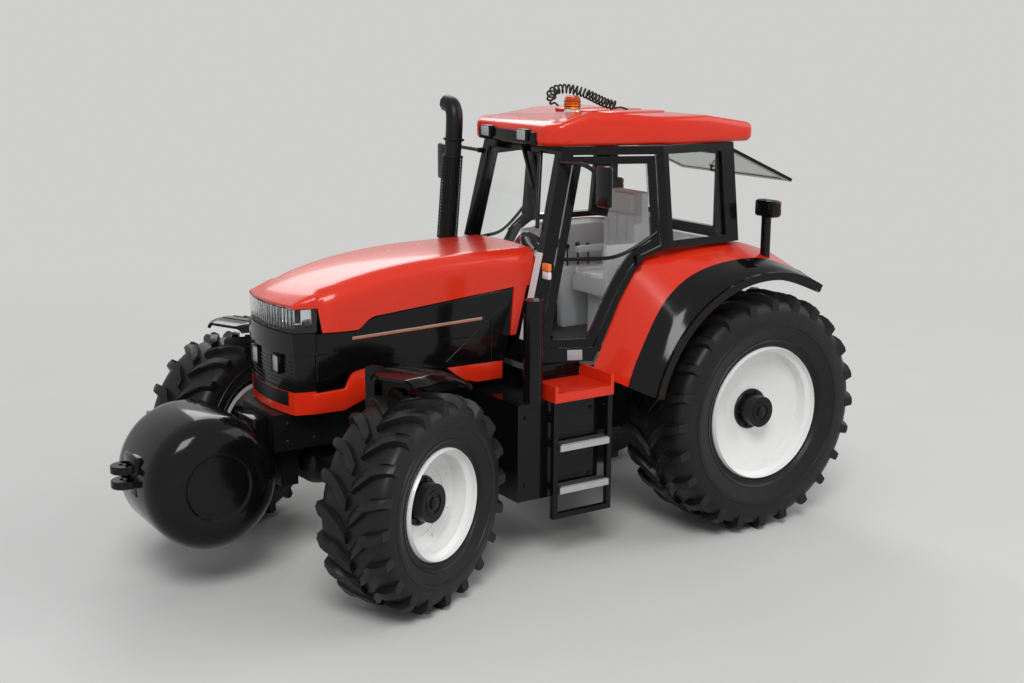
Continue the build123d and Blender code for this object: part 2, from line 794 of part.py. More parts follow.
inner_crown = ((-13.5, 62.5), (0.0, belt_z - 0.3), (19.0, belt_z - 0.6), (28.0, 61.4), (35.0, 46.6), (38.4, 39.6))
outer_crown = arc_points(arch + 3.0, (120, 95, 70, 48, 28, 14))
with BuildPart() as fender:
    loft([fender_face(24.0, inner_crown, arch + 0.6), fender_face(flare_outer - 2.0, outer_crown, arch + 0.6)], ruled=True)
save(both_sides(fender.part), "fenders")

with BuildPart() as flare:
    with BuildSketch(Plane.XZ.offset(-(flare_outer - 1.9))):
        with BuildLine():
            CenterArc((0, rear_radius), arch + 2.8, 10, 112)
            CenterArc((0, rear_radius), arch + 0.8, 10, 112)
            for a in (10, 122):
                c, s = cos(radians(a)), sin(radians(a))
                inside, outside = arch + 0.8, arch + 2.8
                Line((inside * c, rear_radius + inside * s), (outside * c, rear_radius + outside * s))
        make_face()
    extrude(amount=-1.9)
save(both_sides(flare.part), "fender_flares")

# Rear lamp boards on the fenders
with BuildPart() as rear_lamp:
    block((-8.0, -6.0), (28.6, 30.4), (60.0, 72.0))
    block((-8.6, -5.6), (26.5, 33.0), (72.0, 76.0))
save(both_sides(rear_lamp.part - fender.part), "rear_lamps")

# Steps and tanks on both sides, a ladder on the left
with BuildPart() as step:
    block((step_rear, step_front), (21.2, step_outer), (step_top - step_thickness, step_top))
    block((step_rear, step_rear + 0.8), (21.2, step_outer), (step_top, step_top + 2.6))
    block((step_front - 0.8, step_front), (21.2, step_outer), (step_top, step_top + 1.6))
save(both_sides(step.part), "steps")

with BuildPart() as tank:
    block((41, 62), (12.0, 30.0), (15, step_top - step_thickness - 0.1))
save(both_sides(tank.part), "tanks")

with BuildPart() as ladder:
    for x in (step_rear + 0.6, step_front - 0.6):
        block((x - ladder_rail, x + ladder_rail), (31.4, 32.6), (16.0, step_top - step_thickness))
        block((x - ladder_rail, x + ladder_rail), (30.1, 31.4), (32.0, 34.0))
    block((step_rear, step_front), (31.4, 32.6), (ladder_foot, ladder_foot + 1.2))
    block((step_rear, step_rear + 1.2), (31.4, 32.6), (ladder_foot, 16.0))
    block((step_front - 1.2, step_front), (31.4, 32.6), (ladder_foot, 16.0))
save(ladder.part, "ladder")

with BuildPart() as treads:
    for z in (17.0, 17.0 + tread_spacing):
        block((step_rear + 1.25, step_front - 1.25), (30.6, 33.4), (z - 0.7, z + 0.7))
save(Compound(children=list(treads.part.solids())), "ladder_treads")

# Beacon on the roof: base, dome and its curly lead
beacon_x, beacon_y = 34.0, 9.0
roof_z = cab_top + roof_depth
with BuildPart() as beacon_base:
    with Locations((beacon_x, beacon_y, roof_z + 0.6)):
        Cylinder(2.4, 1.2)
save(beacon_base.part, "beacon_base")
with BuildPart() as beacon_dome:
    with Locations((beacon_x, beacon_y, roof_z + 1.2 + 1.5)):
        Cylinder(2.0, 3.0)
    fillet(beacon_dome.edges().group_by(Axis.Z)[-1], radius=1.4)
save(beacon_dome.part, "beacon_dome")

cord_radius = 0.9
cord_points = (
    (beacon_x - 3.0, beacon_y, roof_z + 1.0),
    (beacon_x - 8.0, beacon_y - 4.0, roof_z + 1.0),
    (beacon_x - 8.0, beacon_y + 5.0, roof_z + 1.0),
    (beacon_x - 2.0, beacon_y + 7.5, roof_z + 1.0),
    (24.7, 20.5, roof_z + 1.0),
)
with BuildPart() as beacon_cord:
    with BuildLine() as cord_path:
        FilletPolyline(*cord_points, radius=1.6)
    with BuildSketch(Plane(origin=cord_path.line @ 0, z_dir=cord_path.line % 0)):
        Circle(cord_radius)
    sweep()
save(beacon_cord.part, "beacon_cord")

# Mirrors on the front posts
with BuildPart() as mirror_arm:
    head_y = 33.0
    root = on_wall(door_plane, screen_x(86) + 0.4, 86)
    with Locations((root.X, (root.Y + head_y) / 2 + 0.3, 86)):
        Box(1.0, head_y - root.Y, 1.0)
    block((root.X - 0.6, root.X + 0.8), (head_y - 2.5, head_y + 2.5), (77.5, 86.5))
save(both_sides(mirror_arm.part), "mirrors")

# Front lamps under the roof edge
with BuildPart() as roof_lamps:
    for y in (7.5, -7.5):
        with Locations((roof_front + 0.9, y, cab_top + 2.4)):
            Cylinder(1.5, 1.4, rotation=(0, 90, 0))
save(Compound(children=list(roof_lamps.part.solids())), "roof_lamps")

# Rear window, open at rest, on a hinge under the roof
window_turn = Location((hinge_x, 0, hinge_z), (0, window_open, 0))
with BuildPart() as window_frame:
    block((-window_thickness / 2, window_thickness / 2), (-window_half, window_half), (-window_length, 0.4))
    block((-window_thickness, window_thickness), (-window_half + 1.6, window_half - 1.6), (-window_length + 1.6, -1.6))
    with Locations((0, 0, -window_length / 2)):
        Box(5, 2 * (window_half - 1.6), window_length - 3.2, mode=Mode.SUBTRACT)
    for side in (1, -1):
        with Locations((0, side * (barrel_y + barrel_length / 2 + 0.65), 0)):
            Box(3, 1.3, 3, mode=Mode.SUBTRACT)
        with Locations((0, side * barrel_y, 0)):
            Cylinder(barrel_radius, barrel_length, rotation=(90, 0, 0))
            Cylinder(hinge_pin_radius + bearing_gap, barrel_length, rotation=(90, 0, 0), mode=Mode.SUBTRACT)
save(window_frame.part.moved(window_turn), "rear_window_frame")
with BuildPart() as window_pane:
    inner_half = window_half - 1.6 - fit_gap
    block((-0.3, 0.3), (-inner_half, inner_half), (-window_length + 1.6 + fit_gap, -1.6 - fit_gap))
save(window_pane.part.moved(window_turn), "rear_window_glass")

# Rear linkage: lower links, lift arms and lift rods
fall = radians(link_fall)
rod_dx, rod_dz = -link_to_rod * cos(fall), -link_to_rod * sin(fall)


def bar(p, q, y, section, height, eyes, bores):
    """A flat bar between two points of a plane square to Y, each end an eye with a bore or none."""
    length = hypot(q[0] - p[0], q[1] - p[1])
    lean = degrees(atan2(q[1] - p[1], q[0] - p[0]))
    with BuildPart() as made:
        with Locations((length / 2, 0, 0)):
            Box(length, section, height)
        with Locations((0, 0, 0), (length, 0, 0)):
            Cylinder(eyes, section, rotation=(90, 0, 0))
        for x, bore in zip((0, length), bores):
            if bore:
                with Locations((x, 0, 0)):
                    Cylinder(bore, section, rotation=(90, 0, 0), mode=Mode.SUBTRACT)
    return made.part.moved(Location((p[0], y, p[1]), (0, -lean, 0)))


pin_radius = 0.8
link_end = (link_pivot[0] - link_length * cos(fall), link_pivot[1] - link_length * sin(fall))
link_pin = (link_pivot[0] + rod_dx, link_pivot[1] + rod_dz)
arm_pin = (arm_pivot[0] + rod_dx, arm_pivot[1] + rod_dz)


def pin(x, z, y0, y1, radius):
    """A pin along Y."""
    with BuildPart() as made:
        with Locations((x, (y0 + y1) / 2, z)):
            Cylinder(radius, abs(y1 - y0), rotation=(90, 0, 0))
    return made.part


link = bar(link_pivot, link_end, link_y, 1.8, 2.2, link_eye_radius, (link_eye_bore, link_eye_bore))
link = link + pin(link_pin[0], link_pin[1], link_y, link_y + 2.6, pin_radius)
save(both_sides(link), "hitch_links")
arm = bar(arm_pivot, arm_pin, link_y, 1.8, 2.2, link_eye_radius - 0.2, (link_eye_bore, 0))
arm = arm + pin(arm_pin[0], arm_pin[1], link_y + 0.5, link_y + 2.6, pin_radius)
save(both_sides(arm), "hitch_arms")
rod = bar(link_pin, arm_pin, link_y + 1.9, 1.4, 1.5, 1.5, (pin_radius + bearing_gap, pin_radius + bearing_gap))
save(both_sides(rod), "hitch_rods")

with BuildPart() as drawbar:
    block((-24, -9.05), (-2, 2), (18.4, 20.2))
    with Locations((-24, 0, 19.3)):
        Cylinder(2.0, 1.8)
        Cylinder(0.8, 1.8, mode=Mode.SUBTRACT)
save(drawbar.part, "drawbar")
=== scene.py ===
"""Finishes, lights and small fittings for a 1:32 model of a farm tractor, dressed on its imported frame."""

import json
from math import atan2, cos, pi, radians, sin

import bmesh
import bpy
from mathutils import Matrix, Vector


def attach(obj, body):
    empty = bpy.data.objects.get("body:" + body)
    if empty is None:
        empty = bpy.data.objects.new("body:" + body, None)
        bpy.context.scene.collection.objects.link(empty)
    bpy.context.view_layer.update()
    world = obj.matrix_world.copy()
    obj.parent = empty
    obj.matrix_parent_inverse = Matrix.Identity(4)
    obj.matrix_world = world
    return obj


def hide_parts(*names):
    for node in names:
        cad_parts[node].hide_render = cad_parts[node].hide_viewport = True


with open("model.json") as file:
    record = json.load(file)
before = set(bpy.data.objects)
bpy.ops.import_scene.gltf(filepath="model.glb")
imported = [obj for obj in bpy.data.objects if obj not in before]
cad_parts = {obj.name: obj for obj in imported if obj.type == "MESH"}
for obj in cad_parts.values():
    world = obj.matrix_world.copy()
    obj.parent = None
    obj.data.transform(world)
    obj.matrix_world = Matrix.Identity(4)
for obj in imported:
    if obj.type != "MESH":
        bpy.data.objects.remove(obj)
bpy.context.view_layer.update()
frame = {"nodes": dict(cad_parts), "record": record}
nodes = frame["nodes"]
MM = 0.001
MIDDLE = -51.0


class Wire:
    """A shader socket that takes part in sums, so that a mask reads as arithmetic."""

    def __init__(self, finish, socket):
        self.finish = finish
        self.socket = socket

    def _sum(self, operation, first, second=0.0):
        return self.finish.node("ShaderNodeMath", {"operation": operation}, {0: first, 1: second})

    def __add__(self, other):
        return self._sum("ADD", self, other)

    def __radd__(self, other):
        return self._sum("ADD", other, self)

    def __sub__(self, other):
        return self._sum("SUBTRACT", self, other)

    def __rsub__(self, other):
        return self._sum("SUBTRACT", other, self)

    def __mul__(self, other):
        return self._sum("MULTIPLY", self, other)

    def __rmul__(self, other):
        return self._sum("MULTIPLY", other, self)

    def __truediv__(self, other):
        return self._sum("DIVIDE", self, other)

    def __pow__(self, other):
        return self._sum("POWER", self, other)

    def __lt__(self, other):
        return self._sum("LESS_THAN", self, other)

    def max(self, other):
        return self._sum("MAXIMUM", self, other)

    def min(self, other):
        return self._sum("MINIMUM", self, other)

    def sine(self):
        return self._sum("SINE", self)

    def clip(self):
        return self.max(0.0).min(1.0)


class Graph:
    """A node tree with one method that adds any node."""

    def __init__(self, tree):
        self.tree = tree

    def node(self, kind, settings=None, sockets=None, output=0):
        made = self.tree.nodes.new(kind)
        for label, value in (settings or {}).items():
            setattr(made, label, value)
        for label, value in (sockets or {}).items():
            if isinstance(value, Wire):
                self.tree.links.new(value.socket, made.inputs[label])
            else:
                made.inputs[label].default_value = value
        return Wire(self, made.outputs[output])


class Finish(Graph):
    """A material around one Principled shader, with its constant values set on the shader's own sockets."""

    def __init__(self, name, **constants):
        self.material = bpy.data.materials.new(name)
        self.material.use_nodes = True
        super().__init__(self.material.node_tree)
        self.shader = self.tree.nodes["Principled BSDF"]
        for label, value in constants.items():
            self.set(label.replace("_", " "), value)

    def set(self, label, value):
        socket = self.shader.inputs[label]
        if isinstance(value, Wire):
            self.tree.links.new(value.socket, socket)
        else:
            socket.default_value = value

    def place(self):
        return self.node("ShaderNodeTexCoord", output=3)

    def axis(self, letter):
        return self.node("ShaderNodeSeparateXYZ", sockets={0: self.place()}, output="XYZ".index(letter))

    def noise(self, scale, detail=3.0, roughness=0.55):
        sockets = {"Vector": self.place(), "Scale": scale, "Detail": detail, "Roughness": roughness}
        return self.node("ShaderNodeTexNoise", {"noise_dimensions": "3D"}, sockets)

    def speckle(self, scale):
        sockets = {"Vector": self.place(), "Scale": scale}
        return self.node("ShaderNodeTexVoronoi", {"feature": "F1"}, sockets)

    def upward(self):
        geometry = self.node("ShaderNodeNewGeometry", output=1)
        return self.node("ShaderNodeSeparateXYZ", sockets={0: geometry}, output=2)

    def blend(self, factor, first, second):
        made = self.node("ShaderNodeMix", {"data_type": "RGBA"})
        mix = made.socket.node
        for index, value in ((0, factor), (6, first), (7, second)):
            if isinstance(value, Wire):
                self.tree.links.new(value.socket, mix.inputs[index])
            else:
                mix.inputs[index].default_value = value
        return Wire(self, mix.outputs[2])

    def bump(self, height, strength, distance):
        sockets = {"Height": height, "Strength": strength, "Distance": distance}
        self.set("Normal", self.node("ShaderNodeBump", sockets=sockets))


def tone(red, green, blue, alpha=1.0):
    return (red, green, blue, alpha)


def gloss_paint():
    """Sprayed red-orange paint: drifting shade, fine peel under a clear coat, dust on top faces."""
    made = Finish("red_gloss_paint", Coat_Weight=0.3, Coat_Roughness=0.05, Specular_IOR_Level=0.3)
    drift = made.noise(60.0)
    base = made.blend(drift, tone(0.66, 0.022, 0.005), tone(0.72, 0.028, 0.007))
    dust = (made.upward() * made.noise(900.0, 4.0) * 0.03).clip()
    made.set("Base Color", made.blend(dust, base, tone(0.62, 0.22, 0.16)))
    made.set("Roughness", 0.20 + made.noise(400.0) * 0.10)
    made.bump(made.noise(1500.0, 1.0), 0.05, 0.0002)
    return made.material


def black_gloss():
    """Gloss black trim with faint moulding flow and specks of dust."""
    made = Finish("black_gloss_trim", Coat_Weight=0.08, Coat_Roughness=0.04, Specular_IOR_Level=0.2)
    specks = made.speckle(1400.0) < 0.05
    base = made.blend(made.noise(120.0), tone(0.003, 0.003, 0.0035), tone(0.006, 0.006, 0.0065))
    made.set("Base Color", made.blend(specks * 0.10, base, tone(0.20, 0.20, 0.20)))
    made.set("Roughness", 0.09 + made.noise(260.0) * 0.08)
    made.bump(made.noise(1100.0, 1.0), 0.04, 0.0002)
    return made.material


def black_satin():
    """Satin black castings with a fine cast grain."""
    made = Finish("black_satin_casting", Specular_IOR_Level=0.22)
    base = made.blend(made.noise(200.0), tone(0.004, 0.004, 0.0045), tone(0.009, 0.009, 0.0095))
    made.set("Base Color", base)
    made.set("Roughness", 0.28 + made.noise(500.0) * 0.14)
    made.bump(made.noise(2600.0, 2.0), 0.10, 0.0002)
    return made.material


def rubber():
    """Moulded tyre rubber: dark, half matt, with a fine grain and a little pale dust in the hollows."""
    made = Finish("tyre_rubber", Specular_IOR_Level=0.26)
    dust = ((made.noise(350.0, 5.0) - 0.52) * 2.0).clip()
    base = made.blend(made.noise(90.0), tone(0.006, 0.006, 0.006), tone(0.012, 0.012, 0.012))
    made.set("Base Color", made.blend(dust * 0.06, base, tone(0.16, 0.15, 0.13)))
    made.set("Roughness", 0.32 + made.noise(700.0) * 0.18)
    made.bump(made.noise(3000.0, 3.0), 0.10, 0.0002)
    return made.material


def rim_white():
    """White rim enamel with slightly warm shade drift and faint grime."""
    made = Finish("rim_white_enamel", Coat_Weight=0.3, Coat_Roughness=0.1)
    grime = ((made.noise(240.0, 5.0) - 0.55) * 2.0).clip()
    base = made.blend(made.noise(80.0), tone(0.80, 0.80, 0.79), tone(0.86, 0.86, 0.85))
    made.set("Base Color", made.blend(grime * 0.10, base, tone(0.45, 0.42, 0.38)))
    made.set("Roughness", 0.26 + made.noise(420.0) * 0.10)
    made.bump(made.noise(1600.0, 1.0), 0.04, 0.0002)
    return made.material


def interior_plastic(name, dark, light):
    """Matt moulded cab plastic with a leather-like grain."""
    made = Finish(name)
    made.set("Base Color", made.blend(made.noise(150.0), dark, light))
    made.set("Roughness", 0.48 + made.noise(600.0) * 0.14)
    made.bump(made.speckle(2200.0), 0.10, 0.0002)
    return made.material


def plain_gloss(name, dark, light):
    """Smooth moulded or printed gloss colour with a little shade drift."""
    made = Finish(name, Coat_Weight=0.2, Coat_Roughness=0.1)
    made.set("Base Color", made.blend(made.noise(140.0), dark, light))
    made.set("Roughness", 0.26 + made.noise(480.0) * 0.10)
    made.bump(made.noise(1400.0, 1.0), 0.04, 0.0002)
    return made.material


def bright_metal(name, dark, light, rough):
    """Plated or bare metal with a fine grain."""
    made = Finish(name, Metallic=1.0)
    made.set("Base Color", made.blend(made.noise(500.0, 4.0), dark, light))
    made.set("Roughness", rough + made.noise(900.0) * 0.12)
    made.bump(made.noise(2200.0, 2.0), 0.06, 0.0002)
    return made.material


def clear_plastic(name, tint, rough, bend, ridges=None):
    """Clear moulded plastic, with ridges across one axis where it is a lens."""
    made = Finish(name, Transmission_Weight=1.0, IOR=bend)
    lighter = tone(*[min(1.0, part * 1.04) for part in tint[:3]])
    made.set("Base Color", made.blend(made.noise(70.0), tint, lighter))
    made.set("Roughness", rough + made.noise(300.0) * 0.02)
    if ridges:
        letter, pitch = ridges
        made.bump((made.axis(letter) * (2 * pi / pitch)).sine(), 0.5, 0.0002)
    return made.material


red_paint = gloss_paint()
trim_black = black_gloss()
casting_black = black_satin()
tyre_black = rubber()
rim_enamel = rim_white()
cab_grey = interior_plastic("cab_light_grey", tone(0.66, 0.68, 0.70), tone(0.74, 0.76, 0.78))
cord_black = interior_plastic("cord_black_sheath", tone(0.010, 0.010, 0.011), tone(0.020, 0.020, 0.021))
tread_silver = bright_metal("tread_silver", tone(0.50, 0.51, 0.52), tone(0.66, 0.67, 0.68), 0.30)
chrome = bright_metal("chrome_plate", tone(0.70, 0.71, 0.72), tone(0.84, 0.85, 0.86), 0.05)
window_clear = clear_plastic("window_clear", tone(0.96, 0.975, 0.97), 0.0, 1.15)
window_tinted = clear_plastic("window_tinted", tone(0.42, 0.45, 0.40), 0.01, 1.15)
lens_clear = clear_plastic("lens_clear", tone(0.93, 0.95, 0.96), 0.02, 1.35, ("Y", 1.1 * MM))
lens_amber = clear_plastic("lens_amber", tone(0.90, 0.18, 0.01), 0.05, 1.35, ("Z", 0.8 * MM))

FINISH_OF_SLOT = {
    "red_paint": red_paint,
    "chassis_black": casting_black,
    "black_plastic": trim_black,
    "interior_grey": cab_grey,
    "cord_black": cord_black,
    "silver": tread_silver,
    "chrome": chrome,
    "amber": lens_amber,
    "clear_lens": lens_clear,
    "clear_glass": window_clear,
    "tinted_glass": window_tinted,
    "white_rim": rim_enamel,
    "tyre": tyre_black,
}
for entry in frame["record"]["subparts"]:
    mesh = nodes[entry["node"]].data
    mesh.materials.clear()
    mesh.materials.append(FINISH_OF_SLOT[entry["material_slot"]])


# Making shapes in millimetres: x from the rear axle forward, y to the left, z up from the floor
STATION = Matrix.Translation((MIDDLE * MM, 0.0, 0.0)) @ Matrix.Scale(MM, 4)
FLIP = Matrix.Diagonal((1.0, -1.0, 1.0, 1.0))


def at(x, y, z):
    return Matrix.Translation((x, y, z))


def put(part, place):
    """A part moved to its place."""
    bmesh.ops.transform(part, matrix=place, verts=part.verts)
    return part


def join(shape, part, place=Matrix()):
    """Adds a part to a shape at its place, with its seams closed and its faces outwards."""
    put(part, place)
    bmesh.ops.remove_doubles(part, verts=part.verts, dist=0.002)
    bmesh.ops.recalc_face_normals(part, faces=part.faces)
    mesh = bpy.data.meshes.new("part")
    part.to_mesh(mesh)
    part.free()
    shape.from_mesh(mesh)
    bpy.data.meshes.remove(mesh)


def whole(*parts):
    """One shape from its parts."""
    shape = bmesh.new()
    for part in parts:
        join(shape, part)
    return shape


def pair(*parts):
    """One shape from parts of the left side and their mirror images on the right."""
    shape = bmesh.new()
    for part in parts:
        join(shape, part.copy(), FLIP)
        join(shape, part)
    return shape


def shown(name, shape, slot, finish=None, body="chassis", crease=38, stands_for=None):
    """Puts a shape in the scene as a piece that rides on a body and may stand for a node."""
    bmesh.ops.transform(shape, matrix=STATION, verts=shape.verts)
    mesh = bpy.data.meshes.new(name)
    shape.to_mesh(mesh)
    shape.free()
    mesh.shade_smooth()
    mesh.set_sharp_from_angle(angle=radians(crease))
    mesh.materials.append(finish or FINISH_OF_SLOT[slot])
    piece = bpy.data.objects.new(name, mesh)
    bpy.context.collection.objects.link(piece)
    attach(piece, body)
    if stands_for:
        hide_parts(stands_for)


def facing(place, normal, up=(0, 0, 1)):
    """Stands a part's own Z axis along a direction, at a place."""
    z = Vector(normal).normalized()
    side = Vector(up).cross(z)
    x = side.normalized() if side.length > 0.01 else Vector((1, 0, 0))
    turn = Matrix((x, z.cross(x), z)).transposed().to_4x4()
    return Matrix.Translation(Vector(place)) @ turn


def soften(made, edges, radius, segments=2):
    bmesh.ops.bevel(
        made,
        geom=list(edges),
        offset=radius,
        offset_type="OFFSET",
        affect="EDGES",
        segments=segments,
        profile=0.5,
        material=-1,
    )


def brick(low, high, radius=0.0):
    """A box between two corners with rounded edges."""
    made = bmesh.new()
    bmesh.ops.create_cube(made, size=1.0)
    bmesh.ops.scale(made, vec=Vector(high) - Vector(low), verts=made.verts)
    bmesh.ops.translate(made, vec=(Vector(high) + Vector(low)) / 2, verts=made.verts)
    if radius:
        soften(made, made.edges, radius)
    return made


def turned(rows, steps=32):
    """A turned part: rows of radius and height spun about its own Z axis."""
    made = bmesh.new()
    verts = [made.verts.new((radius, 0, height)) for radius, height in rows]
    edges = [made.edges.new(ends) for ends in zip(verts, verts[1:])]
    bmesh.ops.spin(
        made,
        geom=verts + edges,
        cent=(0, 0, 0),
        axis=(0, 0, 1),
        angle=2 * pi,
        steps=steps,
        use_merge=True,
    )
    return made


def rod(start, end, radius, tip=None, steps=12):
    """A straight round bar between two points, tapered where a tip is given."""
    start, end = Vector(start), Vector(end)
    made = bmesh.new()
    far = radius if tip is None else tip
    length = (end - start).length
    bmesh.ops.create_cone(made, cap_ends=True, segments=steps, radius1=radius, radius2=far, depth=length)
    return put(made, facing((start + end) / 2, end - start))


def bolt(place, normal, size):
    """A hexagon bolt head with a softened top."""
    made = bmesh.new()
    bmesh.ops.create_cone(made, cap_ends=True, segments=6, radius1=size, radius2=size, depth=size * 1.2)
    top = [edge for edge in made.edges if all(vert.co.z > 0 for vert in edge.verts)]
    soften(made, top, size * 0.2, 1)
    bmesh.ops.translate(made, vec=(0, 0, size * 0.4), verts=made.verts)
    return put(made, facing(place, normal))


def pulled_up(made, faces, depth):
    """Pulls faces up along Z."""
    pulled = bmesh.ops.extrude_face_region(made, geom=faces)
    moved = [item for item in pulled["geom"] if isinstance(item, bmesh.types.BMVert)]
    bmesh.ops.translate(made, vec=(0, 0, depth), verts=moved)


def board(outline, depth, radius=0.0):
    """A flat part: an outline in its own X and Y, pulled up along Z."""
    made = bmesh.new()
    face = made.faces.new([made.verts.new((x, y, 0)) for x, y in outline])
    pulled_up(made, [face], depth)
    if radius:
        soften(made, made.edges, radius)
    return made


def side_board(outline, y, depth, radius):
    """A flat part drawn from the side in stations and heights, its outer face at y."""
    drawn = board([(x, -z) for x, z in outline], depth, radius)
    return put(drawn, at(0, y, 0) @ Matrix.Rotation(radians(90), 4, "X") @ FLIP)


def sheet(width, length, columns, rows):
    """A flat sheet of even cells."""
    made = bmesh.new()
    bmesh.ops.create_grid(made, x_segments=columns, y_segments=rows, size=0.5)
    bmesh.ops.scale(made, vec=(width, length, 1), verts=made.verts)
    return made


def bent(columns, rows, spot, thickness, way):
    """A sheet placed by a function of two shares from -1 to 1, with a wall behind its outer face."""
    made = sheet(2, 2, columns, rows)
    for vert in made.verts:
        vert.co = spot(vert.co.x, vert.co.y)
    bmesh.ops.recalc_face_normals(made, faces=made.faces)
    outermost = max(made.faces, key=lambda face: face.calc_center_median()[way])
    inwards = thickness if outermost.normal[way] > 0 else -thickness
    bmesh.ops.solidify(made, geom=list(made.faces), thickness=inwards)
    return made


def pierced(made, web, depth):
    """Opens a hole in every face of a sheet and gives the webs that are left a thickness."""
    cells = list(made.faces)
    bmesh.ops.inset_individual(made, faces=cells, thickness=web, use_even_offset=True)
    bmesh.ops.delete(made, geom=cells, context="FACES_ONLY")
    bmesh.ops.solidify(made, geom=list(made.faces), thickness=depth)
    return made


def smooth_curve(name, points, radius, fineness, roundness):
    """A smooth line with the points as its controls, bare or as a round bar of a radius."""
    curve = bpy.data.curves.new(name, "CURVE")
    curve.dimensions = "3D"
    curve.resolution_u = fineness
    curve.bevel_depth = radius
    curve.bevel_resolution = roundness
    curve.use_fill_caps = True
    spline = curve.splines.new("NURBS")
    spline.points.add(len(points) - 1)
    for control, point in zip(spline.points, points):
        control.co = (*point, 1.0)
    spline.order_u = 3
    spline.use_endpoint_u = True
    return curve


def curve_mesh(curve):
    """The mesh of a curve, which is taken away."""
    guide = bpy.data.objects.new("line", curve)
    mesh = bpy.data.meshes.new_from_object(guide)
    bpy.data.objects.remove(guide)
    bpy.data.curves.remove(curve)
    return mesh


def pipe(points, radius):
    """A bent round bar."""
    mesh = curve_mesh(smooth_curve("line", points, radius, 6, 3))
    made = bmesh.new()
    made.from_mesh(mesh)
    bpy.data.meshes.remove(mesh)
    return made


# Camera at the photograph's place
CAMERA_AT = Vector((0.17164, 0.27283, 0.1154))
CAMERA_YAW = radians(-123.22)
CAMERA_PITCH = radians(12.57)
CAMERA_ROLL = radians(0.28)
ahead = cos(CAMERA_PITCH)
look = Vector((cos(CAMERA_YAW) * ahead, sin(CAMERA_YAW) * ahead, -sin(CAMERA_PITCH)))
level = Vector((sin(CAMERA_YAW), -cos(CAMERA_YAW), 0.0))
upright = level.cross(look)
right = level * cos(CAMERA_ROLL) + upright * sin(CAMERA_ROLL)
up = upright * cos(CAMERA_ROLL) - level * sin(CAMERA_ROLL)
camera_data = bpy.data.cameras.new("camera")
camera_data.sensor_width = 36.0
camera_data.lens = 50.2
camera_data.clip_start = 0.01
camera = bpy.data.objects.new("camera", camera_data)
bpy.context.collection.objects.link(camera)
camera.matrix_world = Matrix.Translation(CAMERA_AT) @ Matrix((right, up, -look)).transposed().to_4x4()
bpy.context.scene.camera = camera

# The beacon's curly lead: its wire winds about a smooth line through the route that the source gives
BEACON_FOOT = Vector((34.0, 9.0, 95.5))
VIEW_TURN = radians(146.78)
LEAD_RIGHT = Vector((cos(VIEW_TURN), sin(VIEW_TURN), 0))
LEAD_BACK = Vector((-sin(VIEW_TURN), cos(VIEW_TURN), 0))
LEAD_ROWS = (
    (-3.0, 2.2, 1.7),
    (-5.0, 2.4, 3.2),
    (-4.4, 4.0, 5.2),
    (-0.9, 5.0, 5.6),
    (2.9, 4.6, 4.6),
    (5.4, 2.8, 3.4),
    (7.6, 1.0, 2.4),
    (9.9, -0.2, 1.9),
    (11.1, -1.0, 1.6),
    (12.2, -1.9, 1.25),
)
WIRE = 0.46
COIL_RADIUS = 0.96
COIL_PITCH = 0.92
TURN_POINTS = 14
STRAIGHT_START = 1.4
STRAIGHT_END = 3.2

lead_rows = []
for to_right, to_back, rise in LEAD_ROWS:
    lead_rows.append(BEACON_FOOT + LEAD_RIGHT * to_right + LEAD_BACK * to_back + Vector((0, 0, rise)))
lead_mesh = curve_mesh(smooth_curve("line", lead_rows, 0.0, 24, 3))
lead_line = [vertex.co.copy() for vertex in lead_mesh.vertices]
bpy.data.meshes.remove(lead_mesh)
runs = [(b - a).length for a, b in zip(lead_line, lead_line[1:])]
lead_length = sum(runs)
coil_end = lead_length - STRAIGHT_END


def along(distance):
    """A point of the line and its direction, at a distance from the start."""
    for start, end, run in zip(lead_line, lead_line[1:], runs):
        if distance <= run:
            return start.lerp(end, distance / run), (end - start).normalized()
        distance -= run
    return lead_line[-1].copy(), (lead_line[-1] - lead_line[-2]).normalized()


coil_points = [along(0.0)[0], along(0.6)[0]]
coil_steps = int((coil_end - STRAIGHT_START) / COIL_PITCH * TURN_POINTS)
outward = along(STRAIGHT_START)[1].orthogonal()
for step in range(coil_steps + 1):
    distance = STRAIGHT_START + (coil_end - STRAIGHT_START) * step / coil_steps
    centre, ahead = along(distance)
    outward = (outward - ahead * outward.dot(ahead)).normalized()
    turn = 2 * pi * distance / COIL_PITCH
    swing = outward * cos(turn) + ahead.cross(outward) * sin(turn)
    coil_points.append(centre + swing * COIL_RADIUS)
for distance in (coil_end + 1.2, coil_end + 2.2, lead_length):
    coil_points.append(along(distance)[0])

lead = smooth_curve("beacon_lead", [STATION @ point for point in coil_points], WIRE / 2 * MM, 2, 2)
lead.materials.append(cord_black)
beacon_lead = bpy.data.objects.new("beacon_lead", lead)
bpy.context.collection.objects.link(beacon_lead)
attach(beacon_lead, "chassis")
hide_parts("beacon_cord")
tuple(STATION @ lead_rows[0])

# Tyres: a spun carcass with rings on its walls and bent bar lugs, in place of the plain ones
LUG_HEIGHT = 1.5
LUG_WIDTH = 2.0
LUG_LEAD = 0.20


